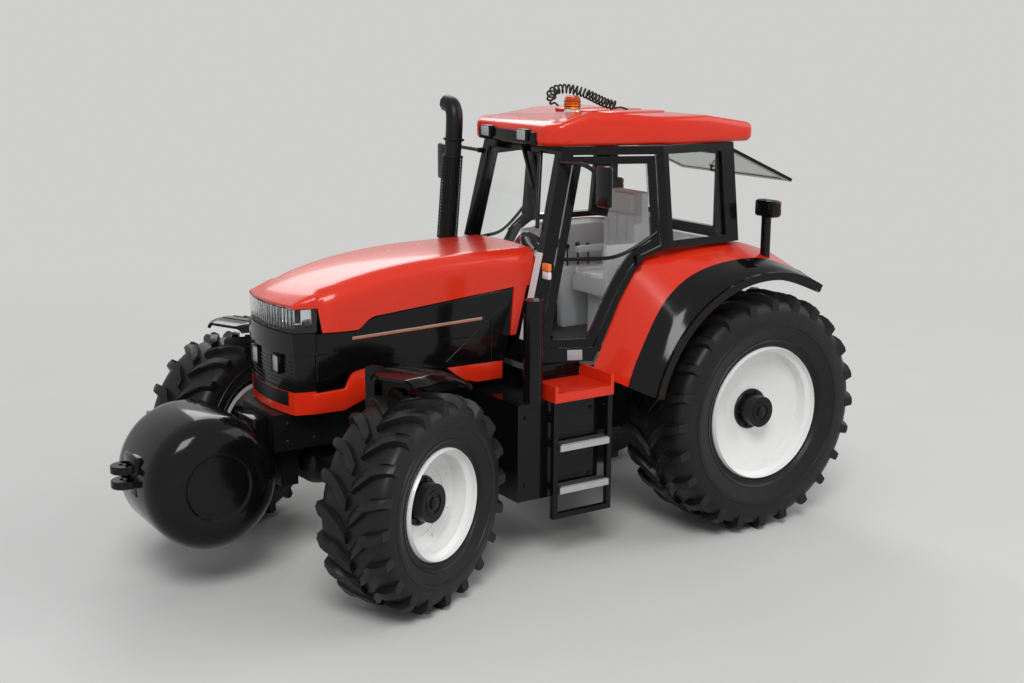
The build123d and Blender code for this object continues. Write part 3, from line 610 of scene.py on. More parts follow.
def lug(radius, half, side):
    """One bar lug on one half of a tyre, its crown rounded down over the shoulder."""
    made = sheet(2, 2, 6, 2)
    pulled_up(made, list(made.faces), 1)
    crown_edges = []
    for edge in made.edges:
        a, b = (vert.co for vert in edge.verts)
        on_side = abs(a.y) > 0.99 and a.y * b.y > 0.9
        on_end = abs(a.x) > 0.99 and a.x * b.x > 0.9
        if min(a.z, b.z) > 0.5 and (on_side or on_end):
            crown_edges.append(edge)
    lead = LUG_LEAD * radius
    near = 0.4
    far = half - 0.4
    for vert in made.verts:
        on_crown = vert.co.z > 0.5
        across = (vert.co.x + 1) / 2
        place = near + across * (far - near)
        share = place / half
        front = -lead - 0.5 * LUG_WIDTH + (lead - 0.12 * LUG_WIDTH) * min(share / 0.52, 1.0)
        front += 0.87 * LUG_WIDTH * max(0.0, share - 0.52) / 0.48
        back = -lead + 0.5 * LUG_WIDTH + lead * min(share / 0.44, 1.0)
        back += 0.65 * LUG_WIDTH * max(0.0, share - 0.44) / 0.56
        spread = 0.0 if on_crown else 0.45
        around = front - spread + (back - front + 2 * spread) * (vert.co.y + 1) / 2
        top = radius - 0.28 - 1.0 * max(0.0, (across - 0.62) / 0.38) ** 2
        base = radius - LUG_HEIGHT - 0.5 - 2.1 * max(0.0, (across - 0.72) / 0.28)
        height = top if on_crown else base
        turn = -around / radius
        vert.co = (height * cos(turn), height * sin(turn), side * place)
    soften(made, crown_edges, 0.24)
    return made


def tyre(radius, width, seat, lugs):
    """A tyre about its own Z axis, its outer wall towards +Z."""
    half = width / 2
    carcass = radius - LUG_HEIGHT
    middle = (seat + carcass) / 2
    wall = (
        (seat, half * 0.82 - 0.3),
        (seat + 0.3, half * 0.82),
        (seat + 0.9, half * 0.82),
        (seat + 1.2, half * 0.85),
        (seat + 1.3, half * 0.85 + 0.22),
        (seat + 1.8, half * 0.88 + 0.22),
        (seat + 1.9, half * 0.89),
        (middle - 0.5, half - 0.22),
        (middle - 0.4, half - 0.04),
        (middle + 0.4, half - 0.01),
        (middle + 0.5, half - 0.16),
        (carcass - 2.6, half - 0.30),
        (carcass - 1.6, half - 0.62),
        (carcass - 0.8, half - 1.15),
        (carcass - 0.3, half - 2.0),
        (carcass - 0.05, half - 3.4),
    )
    rows = [(r, -h) for r, h in wall] + [(carcass, 0.0)] + [(r, h) for r, h in wall[::-1]]
    shape = whole(turned([*rows, rows[0]], 96))
    reach = LUG_LEAD * radius + LUG_WIDTH / 2
    tilt = atan2(reach, (radius**2 - reach**2) ** 0.5)
    for side in (1, -1):
        for i in range(lugs):
            turn = -pi / 2 + tilt + (i + (0.5 if side < 0 else 0.0)) * 2 * pi / lugs
            join(shape, lug(radius, half, side), Matrix.Rotation(-turn, 4, "Z"))
    return shape


# Wheels: their places, and the nuts and rings on their hubs and rims
WHEELBASE = 94.5
FRONT_RADIUS = 22.2
REAR_RADIUS = 28.0
KINGPIN_Y = 23.2
STEERED = radians(24)
OUT_FROM_KINGPIN = 12.1
REAR_WHEEL_Y = 30.5
ON_AXLE = Matrix(((1, 0, 0, 0), (0, 0, 1, 0), (0, -1, 0, 0), (0, 0, 0, 1)))


def handed(side):
    return Matrix.Diagonal((1.0, float(side), 1.0, 1.0))


def kingpin(side):
    """The place of a knuckle's pin at axle height, steered as in the photograph."""
    return at(WHEELBASE, side * KINGPIN_Y, FRONT_RADIUS) @ Matrix.Rotation(STEERED, 4, "Z")


def hub_ring(disc, radius, top):
    """A flange with wheel nuts on the disc, and a cap ring with a small centre plug on the hub."""
    inner = radius - 0.1
    outer = radius + 1.15
    flange = ((inner, 0), (outer, 0), (outer, 0.35), (outer - 0.25, 0.6), (radius + 0.1, 0.6), (inner, 0))
    shape = whole(put(turned(flange, 48), at(0, 0, disc)))
    for i in range(10):
        turn = 2 * pi * i / 10
        spot = ((radius + 0.5) * cos(turn), (radius + 0.5) * sin(turn), disc + 0.6)
        join(shape, bolt(spot, (0, 0, 1), 0.36))
    cap = radius * 0.72
    plug = ((0, 0), (0, 0.5), (cap * 0.34, 0.5), (cap * 0.44, 0.3), (cap * 0.44, 0))
    join(shape, turned(plug, 24), at(0, 0, top))
    ring = ((cap * 0.7, 0), (cap * 0.72, 0.25), (cap * 0.9, 0.25), (cap * 0.94, 0), (cap * 0.7, 0))
    join(shape, turned(ring, 40), at(0, 0, top))
    return shape


def rim_rings(disc, seat):
    """Raised rings on the rim's dish, with a row of small weld studs."""
    shape = bmesh.new()
    inside = seat - 1.5
    for radius, height in ((inside - 2.3, 0.22), (inside - 5.0, 0.16)):
        low = radius - 0.35
        rows = ((low, 0), (radius - 0.2, height), (radius + 0.2, height), (radius + 0.35, 0), (low, 0))
        join(shape, turned(rows, 64), at(0, 0, disc))
    for i in range(8):
        turn = 2 * pi * (i + 0.5) / 8
        stud = turned(((0, 0), (0.42, 0), (0.42, 0.18), (0.28, 0.34), (0, 0.34)), 10)
        join(shape, stud, at((inside - 1.0) * cos(turn), (inside - 1.0) * sin(turn), disc + 0.55))
    return shape


def dress_wheel(kind, hand, place, body, radius, width, seat, lugs, dish, hub, hub_height):
    """The tyre, nuts and rings of one wheel."""
    disc = width / 2 * 0.82 - 0.05 - dish
    name = f"{kind}_{hand}"
    rubber_shape = whole(put(tyre(radius, width, seat, lugs), place))
    shown(f"lugged_tyre_{name}", rubber_shape, "tyre", body=body, stands_for=f"{kind}_tyre_{hand}")
    nuts = whole(put(hub_ring(disc, hub, disc + hub_height), place))
    shown(f"hub_nuts_{name}", nuts, "chassis_black", body=body)
    shown(f"rim_rings_{name}", whole(put(rim_rings(disc, seat), place)), "white_rim", body=body)


for hand, side in (("left", 1), ("right", -1)):
    place = kingpin(side) @ handed(side) @ at(0, OUT_FROM_KINGPIN, 0) @ ON_AXLE
    dress_wheel("front", hand, place, f"wheel_front_{hand}", FRONT_RADIUS, 16.8, 11.6, 20, 5.5, 4.0, 3.5)
for hand, side in (("left", 1), ("right", -1)):
    place = handed(side) @ at(0, REAR_WHEEL_Y, REAR_RADIUS) @ ON_AXLE
    dress_wheel("rear", hand, place, "rear_wheels", REAR_RADIUS, 21.0, 15.6, 24, 5.0, 3.6, 3.9)

# Finishes of the small fittings
stripe_orange = plain_gloss("stripe_orange", tone(0.84, 0.27, 0.12), tone(0.90, 0.31, 0.15))
stripe_white = plain_gloss("stripe_white", tone(0.74, 0.74, 0.73), tone(0.80, 0.80, 0.79))
lamp_orange = plain_gloss("lamp_orange", tone(0.80, 0.20, 0.03), tone(0.88, 0.25, 0.05))
lamp_red = plain_gloss("lamp_red", tone(0.50, 0.010, 0.008), tone(0.58, 0.014, 0.010))
lamp_grey = plain_gloss("lamp_grey", tone(0.30, 0.31, 0.32), tone(0.40, 0.41, 0.42))
mat_rubber = interior_plastic("floor_mat_rubber", tone(0.030, 0.031, 0.033), tone(0.055, 0.056, 0.058))

# The cab's leaning planes, through the foot of the left front post
POST_FOOT = Vector((52.0, 17.5, 44.0))
WALL_OUT = Vector((405.0, 945.0, 126.0)).normalized()
SCREEN_LEAN = 10.5 / 45.0


def on_wall(x, z, stand=0.0):
    """A point of the left door wall, or a distance outside it."""
    y = POST_FOOT.y - (WALL_OUT.x * (x - POST_FOOT.x) + WALL_OUT.z * (z - POST_FOOT.z)) / WALL_OUT.y
    return Vector((x, y, z)) + WALL_OUT * stand


def on_screen(y, z, stand=0.0):
    """A point of the windscreen, or a distance in front of it."""
    return Vector((POST_FOOT.x - (z - POST_FOOT.z) * SCREEN_LEAN + stand, y, z))


# Bonnet: one sheet bent over rounded shoulders, falling to a bowed nose
HOOD_REAR = 46.9
HOOD_NOSE = 106.0
NOSE_BEND = 96.0
NOSE_HALF = 11.0
NOSE_BOW = 1.6
SHOULDER = 3.6
WALL_SHARE = 0.75
TOP_SHARE = 0.4


def hood_half(x):
    """Half the bonnet's width at a station."""
    if x < NOSE_BEND:
        return 14.0 - 0.8 * (x - 44.5) / 51.5
    return max(13.2 - 2.2 * (x - NOSE_BEND) / 8.4, NOSE_HALF)


def hood_crown(x):
    """The height of the bonnet's top line at a station."""
    return 66.75 - 7.55 * max(0.0, (x - 58.0) / 48.0) ** 2.5


def hood_edge(x):
    """The height of the bonnet's lower edge at a station."""
    if x < 86.0:
        return 58.7 - 2.9 * max(0.0, x - 52.5) / 33.5
    if x < 90.8:
        return 55.8 - 2.6 * ((x - 86.0) / 4.8) ** 2
    return 53.2 if x < 100.2 else 58.4


def bonnet_spot(forward, over):
    """A point of the bonnet, from its rear to its nose and from its right edge over to its left."""
    x = HOOD_REAR + (forward + 1) / 2 * (HOOD_NOSE - HOOD_REAR)
    across = abs(over)
    half = hood_half(x)
    top = hood_crown(x)
    low = hood_edge(x)
    shoulder = min(SHOULDER, (top - low) * 0.6)
    if across > WALL_SHARE:
        y = half
        z = low + (top - shoulder - low) * (1 - across) / (1 - WALL_SHARE)
    elif across > TOP_SHARE:
        turn = (WALL_SHARE - across) / (WALL_SHARE - TOP_SHARE) * pi / 2
        y = half - shoulder * (1 - cos(turn))
        z = top - shoulder * (1 - sin(turn))
    else:
        y = (half - shoulder) * across / TOP_SHARE
        z = top + 0.35 * (1 - (across / TOP_SHARE) ** 2) * min(1.0, (HOOD_NOSE - x) / 20.0)
    bow = NOSE_BOW * (y / half) ** 2 * max(0.0, (x - 86.0) / 20.0)
    return x - bow, y if over > 0 else -y, z


CHEEK = ((52.55, 58.8), (53.4, 47.8), (51.9, 47.8), (47.2, 66.0), (51.0, 65.0))
made = pair(side_board(CHEEK, 13.85, 0.8, 0.12))
join(made, bent(64, 40, bonnet_spot, 0.7, 2))
shown("bonnet_skin", made, "red_paint", crease=40, stands_for="hood")


def nose_path(inset, rear):
    """The nose seen from above, from its right rear end round to its left."""
    bowed = []
    for y in range(11, -1, -1):
        bowed.append((105.98 - NOSE_BOW * (y / NOSE_HALF) ** 2 - inset, y * (NOSE_HALF - inset) / NOSE_HALF))
    left = [(rear, hood_half(rear) - inset), *bowed]
    return [(x, -y) for x, y in left] + [(x, y) for x, y in left[-2::-1]]


def nose_band(low, high, inset, depth, rear=100.1, reach=99.0):
    """A band bent round the nose between two heights, of a thickness inwards."""
    path = [point for point in nose_path(inset, rear) if abs(point[1]) <= reach]

    def spot(round_nose, upward):
        return (*path[round((round_nose + 1) / 2 * (len(path) - 1))], high if upward > 0 else low)

    return bent(len(path) - 1, 1, spot, depth, 0)


# Head lamps: a clear band round the nose over four cups with bulbs on a dark bulkhead
SQUARE_LAMP_Y = 5.2
SQUARE_LAMP_Z = 46.4
shown(
    "headlamp_band",
    whole(nose_band(53.45, 58.35, 0.1, 0.5, 99.6)),
    "clear_lens",
    crease=30,
    stands_for="headlamps",
)


def lamp_cup(y):
    """A hollow cup that narrows inwards."""
    cup = brick((101.4, y - 2.2, 54.9), (103.4, y + 2.2, 58.3))
    front = [face for face in cup.faces if face.normal.x > 0.9]
    bmesh.ops.inset_region(cup, faces=front, thickness=0.22, use_even_offset=True)
    corners = list(front[0].verts)
    bmesh.ops.translate(cup, vec=(-1.5, 0, 0), verts=corners)
    bmesh.ops.scale(cup, vec=(1, 0.55, 0.55), space=at(0, -y, -56.6), verts=corners)
    return cup


BULB = ((0, 0), (0.55, 0), (0.55, 0.5), (0.42, 0.85), (0.2, 1.02), (0, 1.06))
cups = []
for y in (2.55, 7.3):
    cups.append(lamp_cup(y))
    cups.append(put(turned(BULB, 16), facing((102.0, y, 56.6), (1, 0, 0))))
cups.append(brick((100.2, 10.6, 54.9), (102.6, 11.0, 58.2), 0.15))
shown("lamp_cups", pair(*cups), "chrome")
bulkhead = whole(brick((96.6, -10.5, 54.7), (101.3, 10.5, 58.4), 0.1))
for y in (0.0, 4.95, -4.95):
    join(bulkhead, brick((101.2, y - 0.16, 54.75), (104.0, y + 0.16, 58.35), 0.05))
for y in (SQUARE_LAMP_Y, -SQUARE_LAMP_Y):
    for (y0, z0), (y1, z1) in (
        ((-1.75, -1.95), (-1.45, 1.95)),
        ((1.45, -1.95), (1.75, 1.95)),
        ((-1.75, 1.65), (1.75, 1.95)),
        ((-1.75, -1.95), (1.75, -1.65)),
    ):
        join(bulkhead, brick((105.2, y + y0, SQUARE_LAMP_Z + z0), (106.2, y + y1, SQUARE_LAMP_Z + z1), 0.08))
shown("lamp_bulkhead", bulkhead, "black_plastic")
face = brick((105.3, SQUARE_LAMP_Y - 1.5, 44.7), (106.0, SQUARE_LAMP_Y + 1.5, 48.1), 0.1)
shown("square_lamp_faces", pair(face), "clear_lens", lamp_grey)

# Grille: a raised edge half way up, a rim at its foot and slats between, over the plain band
made = whole(nose_band(48.9, 53.3, -0.25, 0.6), nose_band(41.1, 41.5, -0.06, 0.5))
for i in range(7):
    join(made, nose_band(42.2 + i * 0.8, 42.55 + i * 0.8, 0.08, 0.3, reach=10.0))
shown("grille_edges", made, "black_plastic")

# Lower trim: a dark opening in its front, and a red fin behind each end
shown("trim_opening", whole(nose_band(37.9, 40.9, -0.05, 0.2, reach=10.0)), "black_plastic", casting_black)
FIN = (
    (101.0, 36.3),
    (101.0, 40.6),
    (93.6, 40.8),
    (92.2, 43.6),
    (90.6, 44.9),
    (86.4, 44.9),
    (86.3, 39.6),
    (88.6, 38.2),
    (94.0, 36.2),
)
shown("trim_fins", pair(side_board(FIN, 12.75, 1.0, 0.25)), "red_paint")

# Side panels: black plates that follow the bonnet's taper, with slanted, upright and level edge lines
PANEL = (
    (52.7, 58.4),
    (86.0, 55.5),
    (88.6, 54.7),
    (90.4, 53.4),
    (90.9, 52.95),
    (99.9, 52.95),
    (99.9, 42.6),
    (88.0, 45.0),
    (70.0, 42.3),
    (55.0, 42.3),
    (53.7, 47.8),
)
PANEL_LINES = (
    ((56.0, 54.2), (69.8, 43.7)),
    ((58.3, 52.1), (58.3, 42.6)),
    ((62.5, 48.7), (99.6, 48.7)),
)
panel = board(PANEL, 1.1, 0.2)
for vert in panel.verts:
    x, z, depth = vert.co
    vert.co = (x, hood_half(x) - 1.25 + depth, z)
panel_parts = [panel]
for ends in PANEL_LINES:
    start, end = (Vector((x, hood_half(x) - 0.15, z)) for x, z in ends)
    panel_parts.append(rod(start, end, 0.2))
shown("side_plates", pair(*panel_parts), "black_plastic", stands_for="side_panels")

# Two thin lines along each black side panel
LINE_MIDDLE = 76.4
LINE_LENGTH = 31.4
for name, finish, low, high in (
    ("orange", stripe_orange, -0.28, 0.12),
    ("white", stripe_white, 0.12, 0.28),
):
    line = sheet(LINE_LENGTH, 1, 8, 1)
    for vert in line.verts:
        x = LINE_MIDDLE + vert.co.x
        z = 52.0 - vert.co.x * 0.03 + (high if vert.co.y > 0 else low)
        vert.co = (x, hood_half(x) - 0.11, z)
    bmesh.ops.solidify(line, geom=list(line.faces), thickness=0.08)
    shown(f"side_line_{name}", pair(line), "red_paint", finish)

# Roof: a slab with rounded corners and edges, its top falling to the front and the rear
ROOF_FOOT = 89.1
ROOF_DEPTH = 6.3
FRONT_FALL = 36.0
REAR_FALL = 8.0
half_plan = ((45.4, 13.6), (42.6, 16.9), (18.0, 25.4), (-5.0, 25.4), (-7.9, 22.4))
slab = put(board([*half_plan, *[(x, -y) for x, y in half_plan[::-1]]], ROOF_DEPTH), at(0, 0, ROOF_FOOT))
for station in (FRONT_FALL, 22.0, REAR_FALL):
    everything = list(slab.verts) + list(slab.edges) + list(slab.faces)
    bmesh.ops.bisect_plane(slab, geom=everything, dist=0.001, plane_co=(station, 0, 0), plane_no=(1, 0, 0))
for vert in slab.verts:
    if vert.co.z > ROOF_FOOT + ROOF_DEPTH - 0.4:
        vert.co.z -= 2.0 * max(0.0, (vert.co.x - FRONT_FALL) / 9.5)
        vert.co.z -= 2.4 * max(0.0, (REAR_FALL - vert.co.x) / 16.0)
rim = []
for edge in slab.edges:
    faces = edge.link_faces
    if len(faces) == 2 and faces[0].normal.angle(faces[1].normal, 0.0) > radians(25):
        rim.append(edge)
soften(slab, rim, 1.3, 4)
made = whole(slab)
for y in (0.0, 8.5, -8.5):
    join(made, brick((9.0, y - 2.6, 95.1), (25.0, y + 2.6, 95.75), 0.3))
shown("roof_skin", made, "red_paint", crease=32, stands_for="roof")

# Roof lamps: square cases with plain lenses on a dark band under the front lip
ROOF_LAMP_Y = 7.5
case = brick((44.4, ROOF_LAMP_Y - 1.9, 89.9), (46.75, ROOF_LAMP_Y + 1.9, 92.6), 0.3)
shown("roof_lamp_cases", pair(case), "black_plastic", stands_for="roof_lamps")
lens = brick((46.6, ROOF_LAMP_Y - 1.55, 90.2), (47.0, ROOF_LAMP_Y + 1.55, 92.3), 0.16)
shown("roof_lamp_lenses", pair(lens), "clear_lens", lamp_grey)
shown("roof_lamp_band", whole(brick((44.4, -11.6, 89.3), (45.95, 11.6, 92.1), 0.3)), "black_plastic")

# Beacon: a flanged foot and a ribbed dome
FOOT_ROWS = ((0, 0), (2.4, 0), (2.4, 0.25), (2.2, 0.4), (1.9, 0.5), (1.75, 0.9), (1.8, 1.2), (0, 1.2))
foot = put(turned(FOOT_ROWS, 40), at(*BEACON_FOOT))
shown("beacon_foot", whole(foot), "chrome", stands_for="beacon_base")
ribs = [(1.95 if i % 2 else 1.82, 0.2 + i * 0.28) for i in range(7)]
dome_rows = [(0, 0), (1.9, 0), *ribs, (1.75, 2.3), (1.5, 2.7), (1.05, 2.93), (0.5, 3.0), (0, 3.0)]
dome = put(turned(dome_rows, 40), at(BEACON_FOOT.x, BEACON_FOOT.y, 96.7))
shown("beacon_lens", whole(dome), "amber", stands_for="beacon_dome")

# Exhaust: a bent pipe in a pierced shield with three bands
STACK_FOOT = Vector((51.0, -18.2, 61.8))
STACK_LINE = Vector((-sin(radians(4.8)), 0.0, cos(radians(4.8))))
BENDS = ((0.0, 0.0), (14.0, 0.0), (26.0, 0.0), (30.0, 0.05), (33.4, 0.5), (35.0, 2.2), (35.2, 4.2))
BAND = ((2.0, 0), (2.4, 0), (2.5, 0.12), (2.5, 0.5), (2.4, 0.62), (2.0, 0.62), (2.0, 0))


def up_stack(reach):
    return facing(STACK_FOOT + STACK_LINE * reach, STACK_LINE)


made = whole(
    pipe([STACK_FOOT + STACK_LINE * reach + Vector((0, -out, 0)) for reach, out in BENDS], 2.05),
    brick((50.0, -17.4, 61.9), (52.0, -13.9, 64.7), 0.2),
    put(pierced(turned([(2.36, 0.78 * i) for i in range(25)], 22), 0.11, 0.1), up_stack(4.0)),
)
for reach in (3.6, 22.6, 26.6):
    join(made, turned(BAND, 32), up_stack(reach))
shown("exhaust_pipe", made, "black_plastic", casting_black, stands_for="exhaust_stack")

# Front ballast: a drum with rounded rims and sunk ends, its neck and a two-plate towing jaw
DRUM_END = (
    (0, 11.9),
    (6.6, 11.9),
    (7.0, 12.4),
    (8.6, 12.5),
    (10.2, 12.2),
    (11.8, 11.4),
    (13.0, 10.2),
    (13.7, 8.7),
    (14.0, 7.0),
)
JAW_RING = ((0.8, -0.8), (2.35, -0.8), (2.5, -0.65), (2.5, 0.65), (2.35, 0.8), (0.8, 0.8), (0.8, -0.8))
drum = turned([*[(r, -h) for r, h in DRUM_END], *DRUM_END[::-1]], 96)
made = whole(
    put(drum, facing((122.0, 0, 24.0), (0, 1, 0))),
    brick((108.0, -5.0, 22.0), (111.5, 5.0, 35.0), 0.4),
    brick((133.2, -3.4, 21.8), (136.2, 3.4, 30.2), 0.5),
)
for z in (24.45, 27.55):
    join(made, brick((134.0, -2.5, z - 0.8), (137.5, 2.5, z + 0.8), 0.15))
    join(made, turned(JAW_RING, 40), at(137.5, 0, z))
shown("ballast_drum", made, "chassis_black", trim_black, stands_for="ballast_weight")

# Direction lamps on the front posts: orange over white on a black back
for name, slot, finish, low, high in (
    ("back", "black_plastic", trim_black, (46.1, 16.8, 60.4), (46.9, 20.1, 64.2)),
    ("orange", "amber", lamp_orange, (46.7, 17.4, 62.35), (47.7, 20.0, 64.1)),
    ("clear", "clear_lens", stripe_white, (46.7, 17.4, 60.6), (47.6, 20.0, 62.3)),
):
    shown(f"direction_lamp_{name}", pair(brick(low, high, 0.22)), slot, finish)

# Mirrors: rounded heads on bent arms, with bright faces to the rear
MIRROR_ARM = (
    (42.6, 16.1, 86.0),
    (42.8, 21.5, 86.1),
    (42.9, 26.0, 86.2),
    (42.9, 31.0, 84.6),
    (42.9, 32.0, 83.0),
)
heads = pair(
    brick((42.0, 30.5, 77.6), (43.4, 35.4, 86.4), 0.6),
    pipe(MIRROR_ARM, 0.5),
    brick((42.0, 15.9, 85.4), (43.2, 16.9, 86.6), 0.2),
)
shown("mirror_heads", heads, "black_plastic", stands_for="mirrors")
shown("mirror_faces", pair(brick((41.86, 31.0, 78.1), (42.06, 34.9, 85.9), 0.08)), "chrome")

# Windscreen wiper, and a rail across the foot of each door's pane
wiper = whole(
    rod(on_screen(1.6, 88.4, 0.6), on_screen(9.2, 79.8, 0.9), 0.6, 0.42),
    rod(on_screen(8.9, 87.6, 0.6), on_screen(13.4, 71.2, 0.6), 0.55, 0.45),
    brick(on_screen(0.6, 87.6, -0.2), on_screen(2.6, 88.8, 1.0), 0.2),
)
shown("wiper", wiper, "black_plastic")
RAIL = ((43.6, 64.6), (38.0, 64.6), (33.2, 64.6), (30.0, 65.6), (26.0, 67.9), (22.9, 70.2))
for body, hand in (("door_left", Matrix()), ("door_right", FLIP)):
    rail = pipe([on_wall(x, z, 0.35) for x, z in RAIL], 0.42)
    latch = brick(on_wall(28.2, 63.0, 0.1), on_wall(26.6, 65.2, 0.9), 0.2)
    shown(f"door_rail_{body}", whole(put(rail, hand), put(latch, hand)), "black_plastic", body=body)

# Black sills under the doors, and a small blank plate on the left one
shown("door_sills", pair(brick((39.9, 17.6, 38.75), (50.75, 21.35, 41.95), 0.15)), "black_plastic")
plate = board(((-1.7, -1.15), (1.7, -1.15), (1.7, 1.15), (-1.7, 1.15)), 0.12, 0.04)
shown("blank_plate", whole(put(plate, facing(on_wall(41.7, 43.5), WALL_OUT))), "silver", lamp_grey)

# Pierced plates on the steps and the ladder's treads, each over a thin black sheet: painted shade seen
# through the holes
TREAD_HEIGHTS = (17.7, 27.2)
step_plate = put(pierced(sheet(13.4, 9.6, 27, 19), 0.13, 0.12), at(46.8, 27.3, 38.76))
shown("step_plates", pair(step_plate), "red_paint")
treads = bmesh.new()
# Thin black sheets under the pierced plates: painted shade that darkens the holes
hole_shade_sheets = pair(brick((40.1, 22.5, 38.57), (53.5, 32.1, 38.63), 0.01))
for z in TREAD_HEIGHTS:
    join(treads, pierced(sheet(12.4, 2.5, 26, 6), 0.11, 0.14), at(46.75, 32.0, z + 0.2))
    join(hole_shade_sheets, brick((40.55, 30.75, z - 0.03), (52.95, 33.25, z + 0.03), 0.01))
shown("tread_plates", treads, "silver")
shown("painted_hole_shade", hole_shade_sheets, "black_plastic", casting_black)

# Pale liners on the front posts behind the bonnet
strip = sheet(2.4, 19.0, 1, 1)
for vert in strip.verts:
    vert.co = on_screen(15.5 + vert.co.x, 56.6 + vert.co.y, 0.1)
bmesh.ops.solidify(strip, geom=list(strip.faces), thickness=0.2)
shown("post_liners", pair(strip), "interior_grey")

# Cab floor covering, dark linings low on the walls, and mats with ribs
mat_parts = [
    brick((2.2, 15.95, 41.8), (29.8, 16.25, 46.6), 0.08),
    brick((24.0, 7.4, 41.75), (45.6, 16.2, 42.0), 0.08),
]
for i in range(26):
    x = 24.6 + i * 0.8
    mat_parts.append(brick((x, 7.8, 41.95), (x + 0.4, 15.8, 42.2), 0.06))
mats = pair(*mat_parts)
join(mats, brick((2.2, -16.1, 41.75), (45.6, 16.1, 41.9), 0.04))
shown("floor_mats", mats, "black_plastic", mat_rubber)

# Bolts on the tanks and the front support
bolts = [bolt((x, 30.0, z), (0, 1, 0), 0.45) for x in (43.0, 60.0) for z in (18.5, 33.5)]
bolts += [bolt((x, 8.0, z), (0, 1, 0), 0.5) for x in (87.0, 99.0, 105.0) for z in (30.0, 33.8)]
shown("frame_bolts", pair(*bolts), "chassis_black")

# Seat: moulded channels on the cushion and back, side bolsters, a head pad, arms and the lever console
made = whole(
    brick((10.6, -4.0, 71.0), (12.8, 4.0, 75.8), 0.7),
    brick((11.6, -12.6, 41.8), (22.8, -9.3, 57.0), 0.9),
)
for low, high in ((-5.9, -2.05), (-1.85, 1.85), (2.05, 5.9)):
    join(made, brick((11.4, low, 55.3), (21.9, high, 56.9), 0.55))
    join(made, brick((10.8, low, 57.0), (12.5, high, 70.6), 0.5))
for y in (5.6, -5.6):
    join(made, brick((10.9, y - 0.9, 57.4), (13.2, y + 0.9, 69.0), 0.6))
    join(made, brick((12.6, y - 0.9, 55.0), (21.6, y + 0.9, 57.6), 0.6))
for y in (8.2, -8.2):
    join(made, brick((10.6, y - 1.0, 60.6), (20.0, y + 1.0, 62.2), 0.6))
    join(made, rod((11.4, y, 56.0), (11.4, y, 61.0), 0.5))
    join(made, brick((10.8, y - 1.9, 54.2), (12.2, y + 1.0, 56.2), 0.3))
shown("seat_channels", made, "interior_grey")

# Dash: a dark face with three dials, stalks, pedals and levers
KNOB = ((0, 0), (0.42, 0.05), (0.62, 0.5), (0.6, 0.95), (0.36, 1.3), (0, 1.4))
dash = facing((39.9, 0, 57.6), (-0.766, 0, 0.643), (1, 0, 0))
made = whole(put(board(((-5.4, -2.6), (5.4, -2.6), (5.0, 1.4), (-5.0, 1.4)), 0.5, 0.15), dash))
for x, y, reach in ((14.0, -10.4, 4.2), (17.0, -10.6, 4.8), (20.0, -10.8, 4.4)):
    join(made, rod((x, y, 41.8), (x + 0.8, y, 57.0 + reach), 0.26, 0.2))
    join(made, turned(KNOB, 14), facing((x + 0.78, y, 56.8 + reach), (0.1, 0, 1)))
for side in (1, -1):
    join(made, rod((38.2, side * 0.6, 62.0), (37.2, side * 3.8, 63.0), 0.2, 0.16))
for y in (3.2, 5.4, -4.0):
    join(made, brick((36.6, y - 0.8, 42.4), (37.2, y + 0.8, 44.6), 0.15))
    join(made, rod((37.0, y, 43.5), (39.8, y, 45.5), 0.22))
shown("dash_and_levers", made, "black_plastic")
dials = bmesh.new()
for x, radius in ((-3.4, 0.9), (0.0, 1.2), (3.4, 0.9)):
    low = radius - 0.2
    rows = ((low, 0.45), (radius - 0.12, 0.7), (radius, 0.7), (radius + 0.08, 0.45), (low, 0.45))
    join(dials, turned(rows, 28), dash @ at(x, -0.6, 0))
shown("dial_rings", dials, "chrome")

# Rear window: a pull handle and two catches, on the window as it stands open
HANDLE_Z = -17.0
HANDLE = ((0.2, -3.0), (1.3, -3.0), (1.6, -2.4), (1.6, 2.4), (1.3, 3.0), (0.2, 3.0))
HANDLE_FOOT = ((0, 0), (0.8, 0), (0.8, 0.15), (0.5, 0.35), (0, 0.35))
CATCH = ((0, 0), (0.7, 0), (0.7, 0.25), (0.4, 0.5), (0, 0.5))
swung = at(-2.6, 0, 87.4) @ Matrix.Rotation(radians(67), 4, "Y")
made = whole(put(pipe([(x, y, HANDLE_Z) for x, y in HANDLE], 0.32), swung))
for side in (1, -1):
    join(made, turned(HANDLE_FOOT, 16), swung @ facing((0.28, side * 3.0, HANDLE_Z), (1, 0, 0)))
    join(made, turned(CATCH, 16), swung @ facing((-0.28, side * 16.5, -4.4), (-1, 0, 0)))
shown("window_handle", made, "black_plastic", body="rear_window")

# Rear mudguards: a skin from the cab's line to an arc over the tyre, with a black flare outside
ARCH = 33.0
REAR_HUB = Vector((0.0, REAR_RADIUS))
CAB_LINE = ((-13.5, 62.5), (0.0, 66.2), (19.0, 65.9), (28.0, 61.4), (35.0, 46.6), (38.4, 39.6))
TYRE_LINE = []
for angle in (120, 95, 70, 48, 28, 14):
    TYRE_LINE.append((ARCH * cos(radians(angle)), REAR_RADIUS + ARCH * sin(radians(angle))))


def crown(rows, share):
    """A point on a smooth line through rows of station and height, at a share of its length."""
    place = share * (len(rows) - 1)
    start = min(int(place), len(rows) - 2)
    part = place - start
    near = [rows[max(0, min(len(rows) - 1, start + step))] for step in (-1, 0, 1, 2)]
    spot = []
    for a, b, c, d in zip(*near):
        square = (2 * a - 5 * b + 4 * c - d) * part**2
        cube = (3 * b - a - 3 * c + d) * part**3
        spot.append((2 * b + (c - a) * part + square + cube) / 2)
    return Vector(spot)


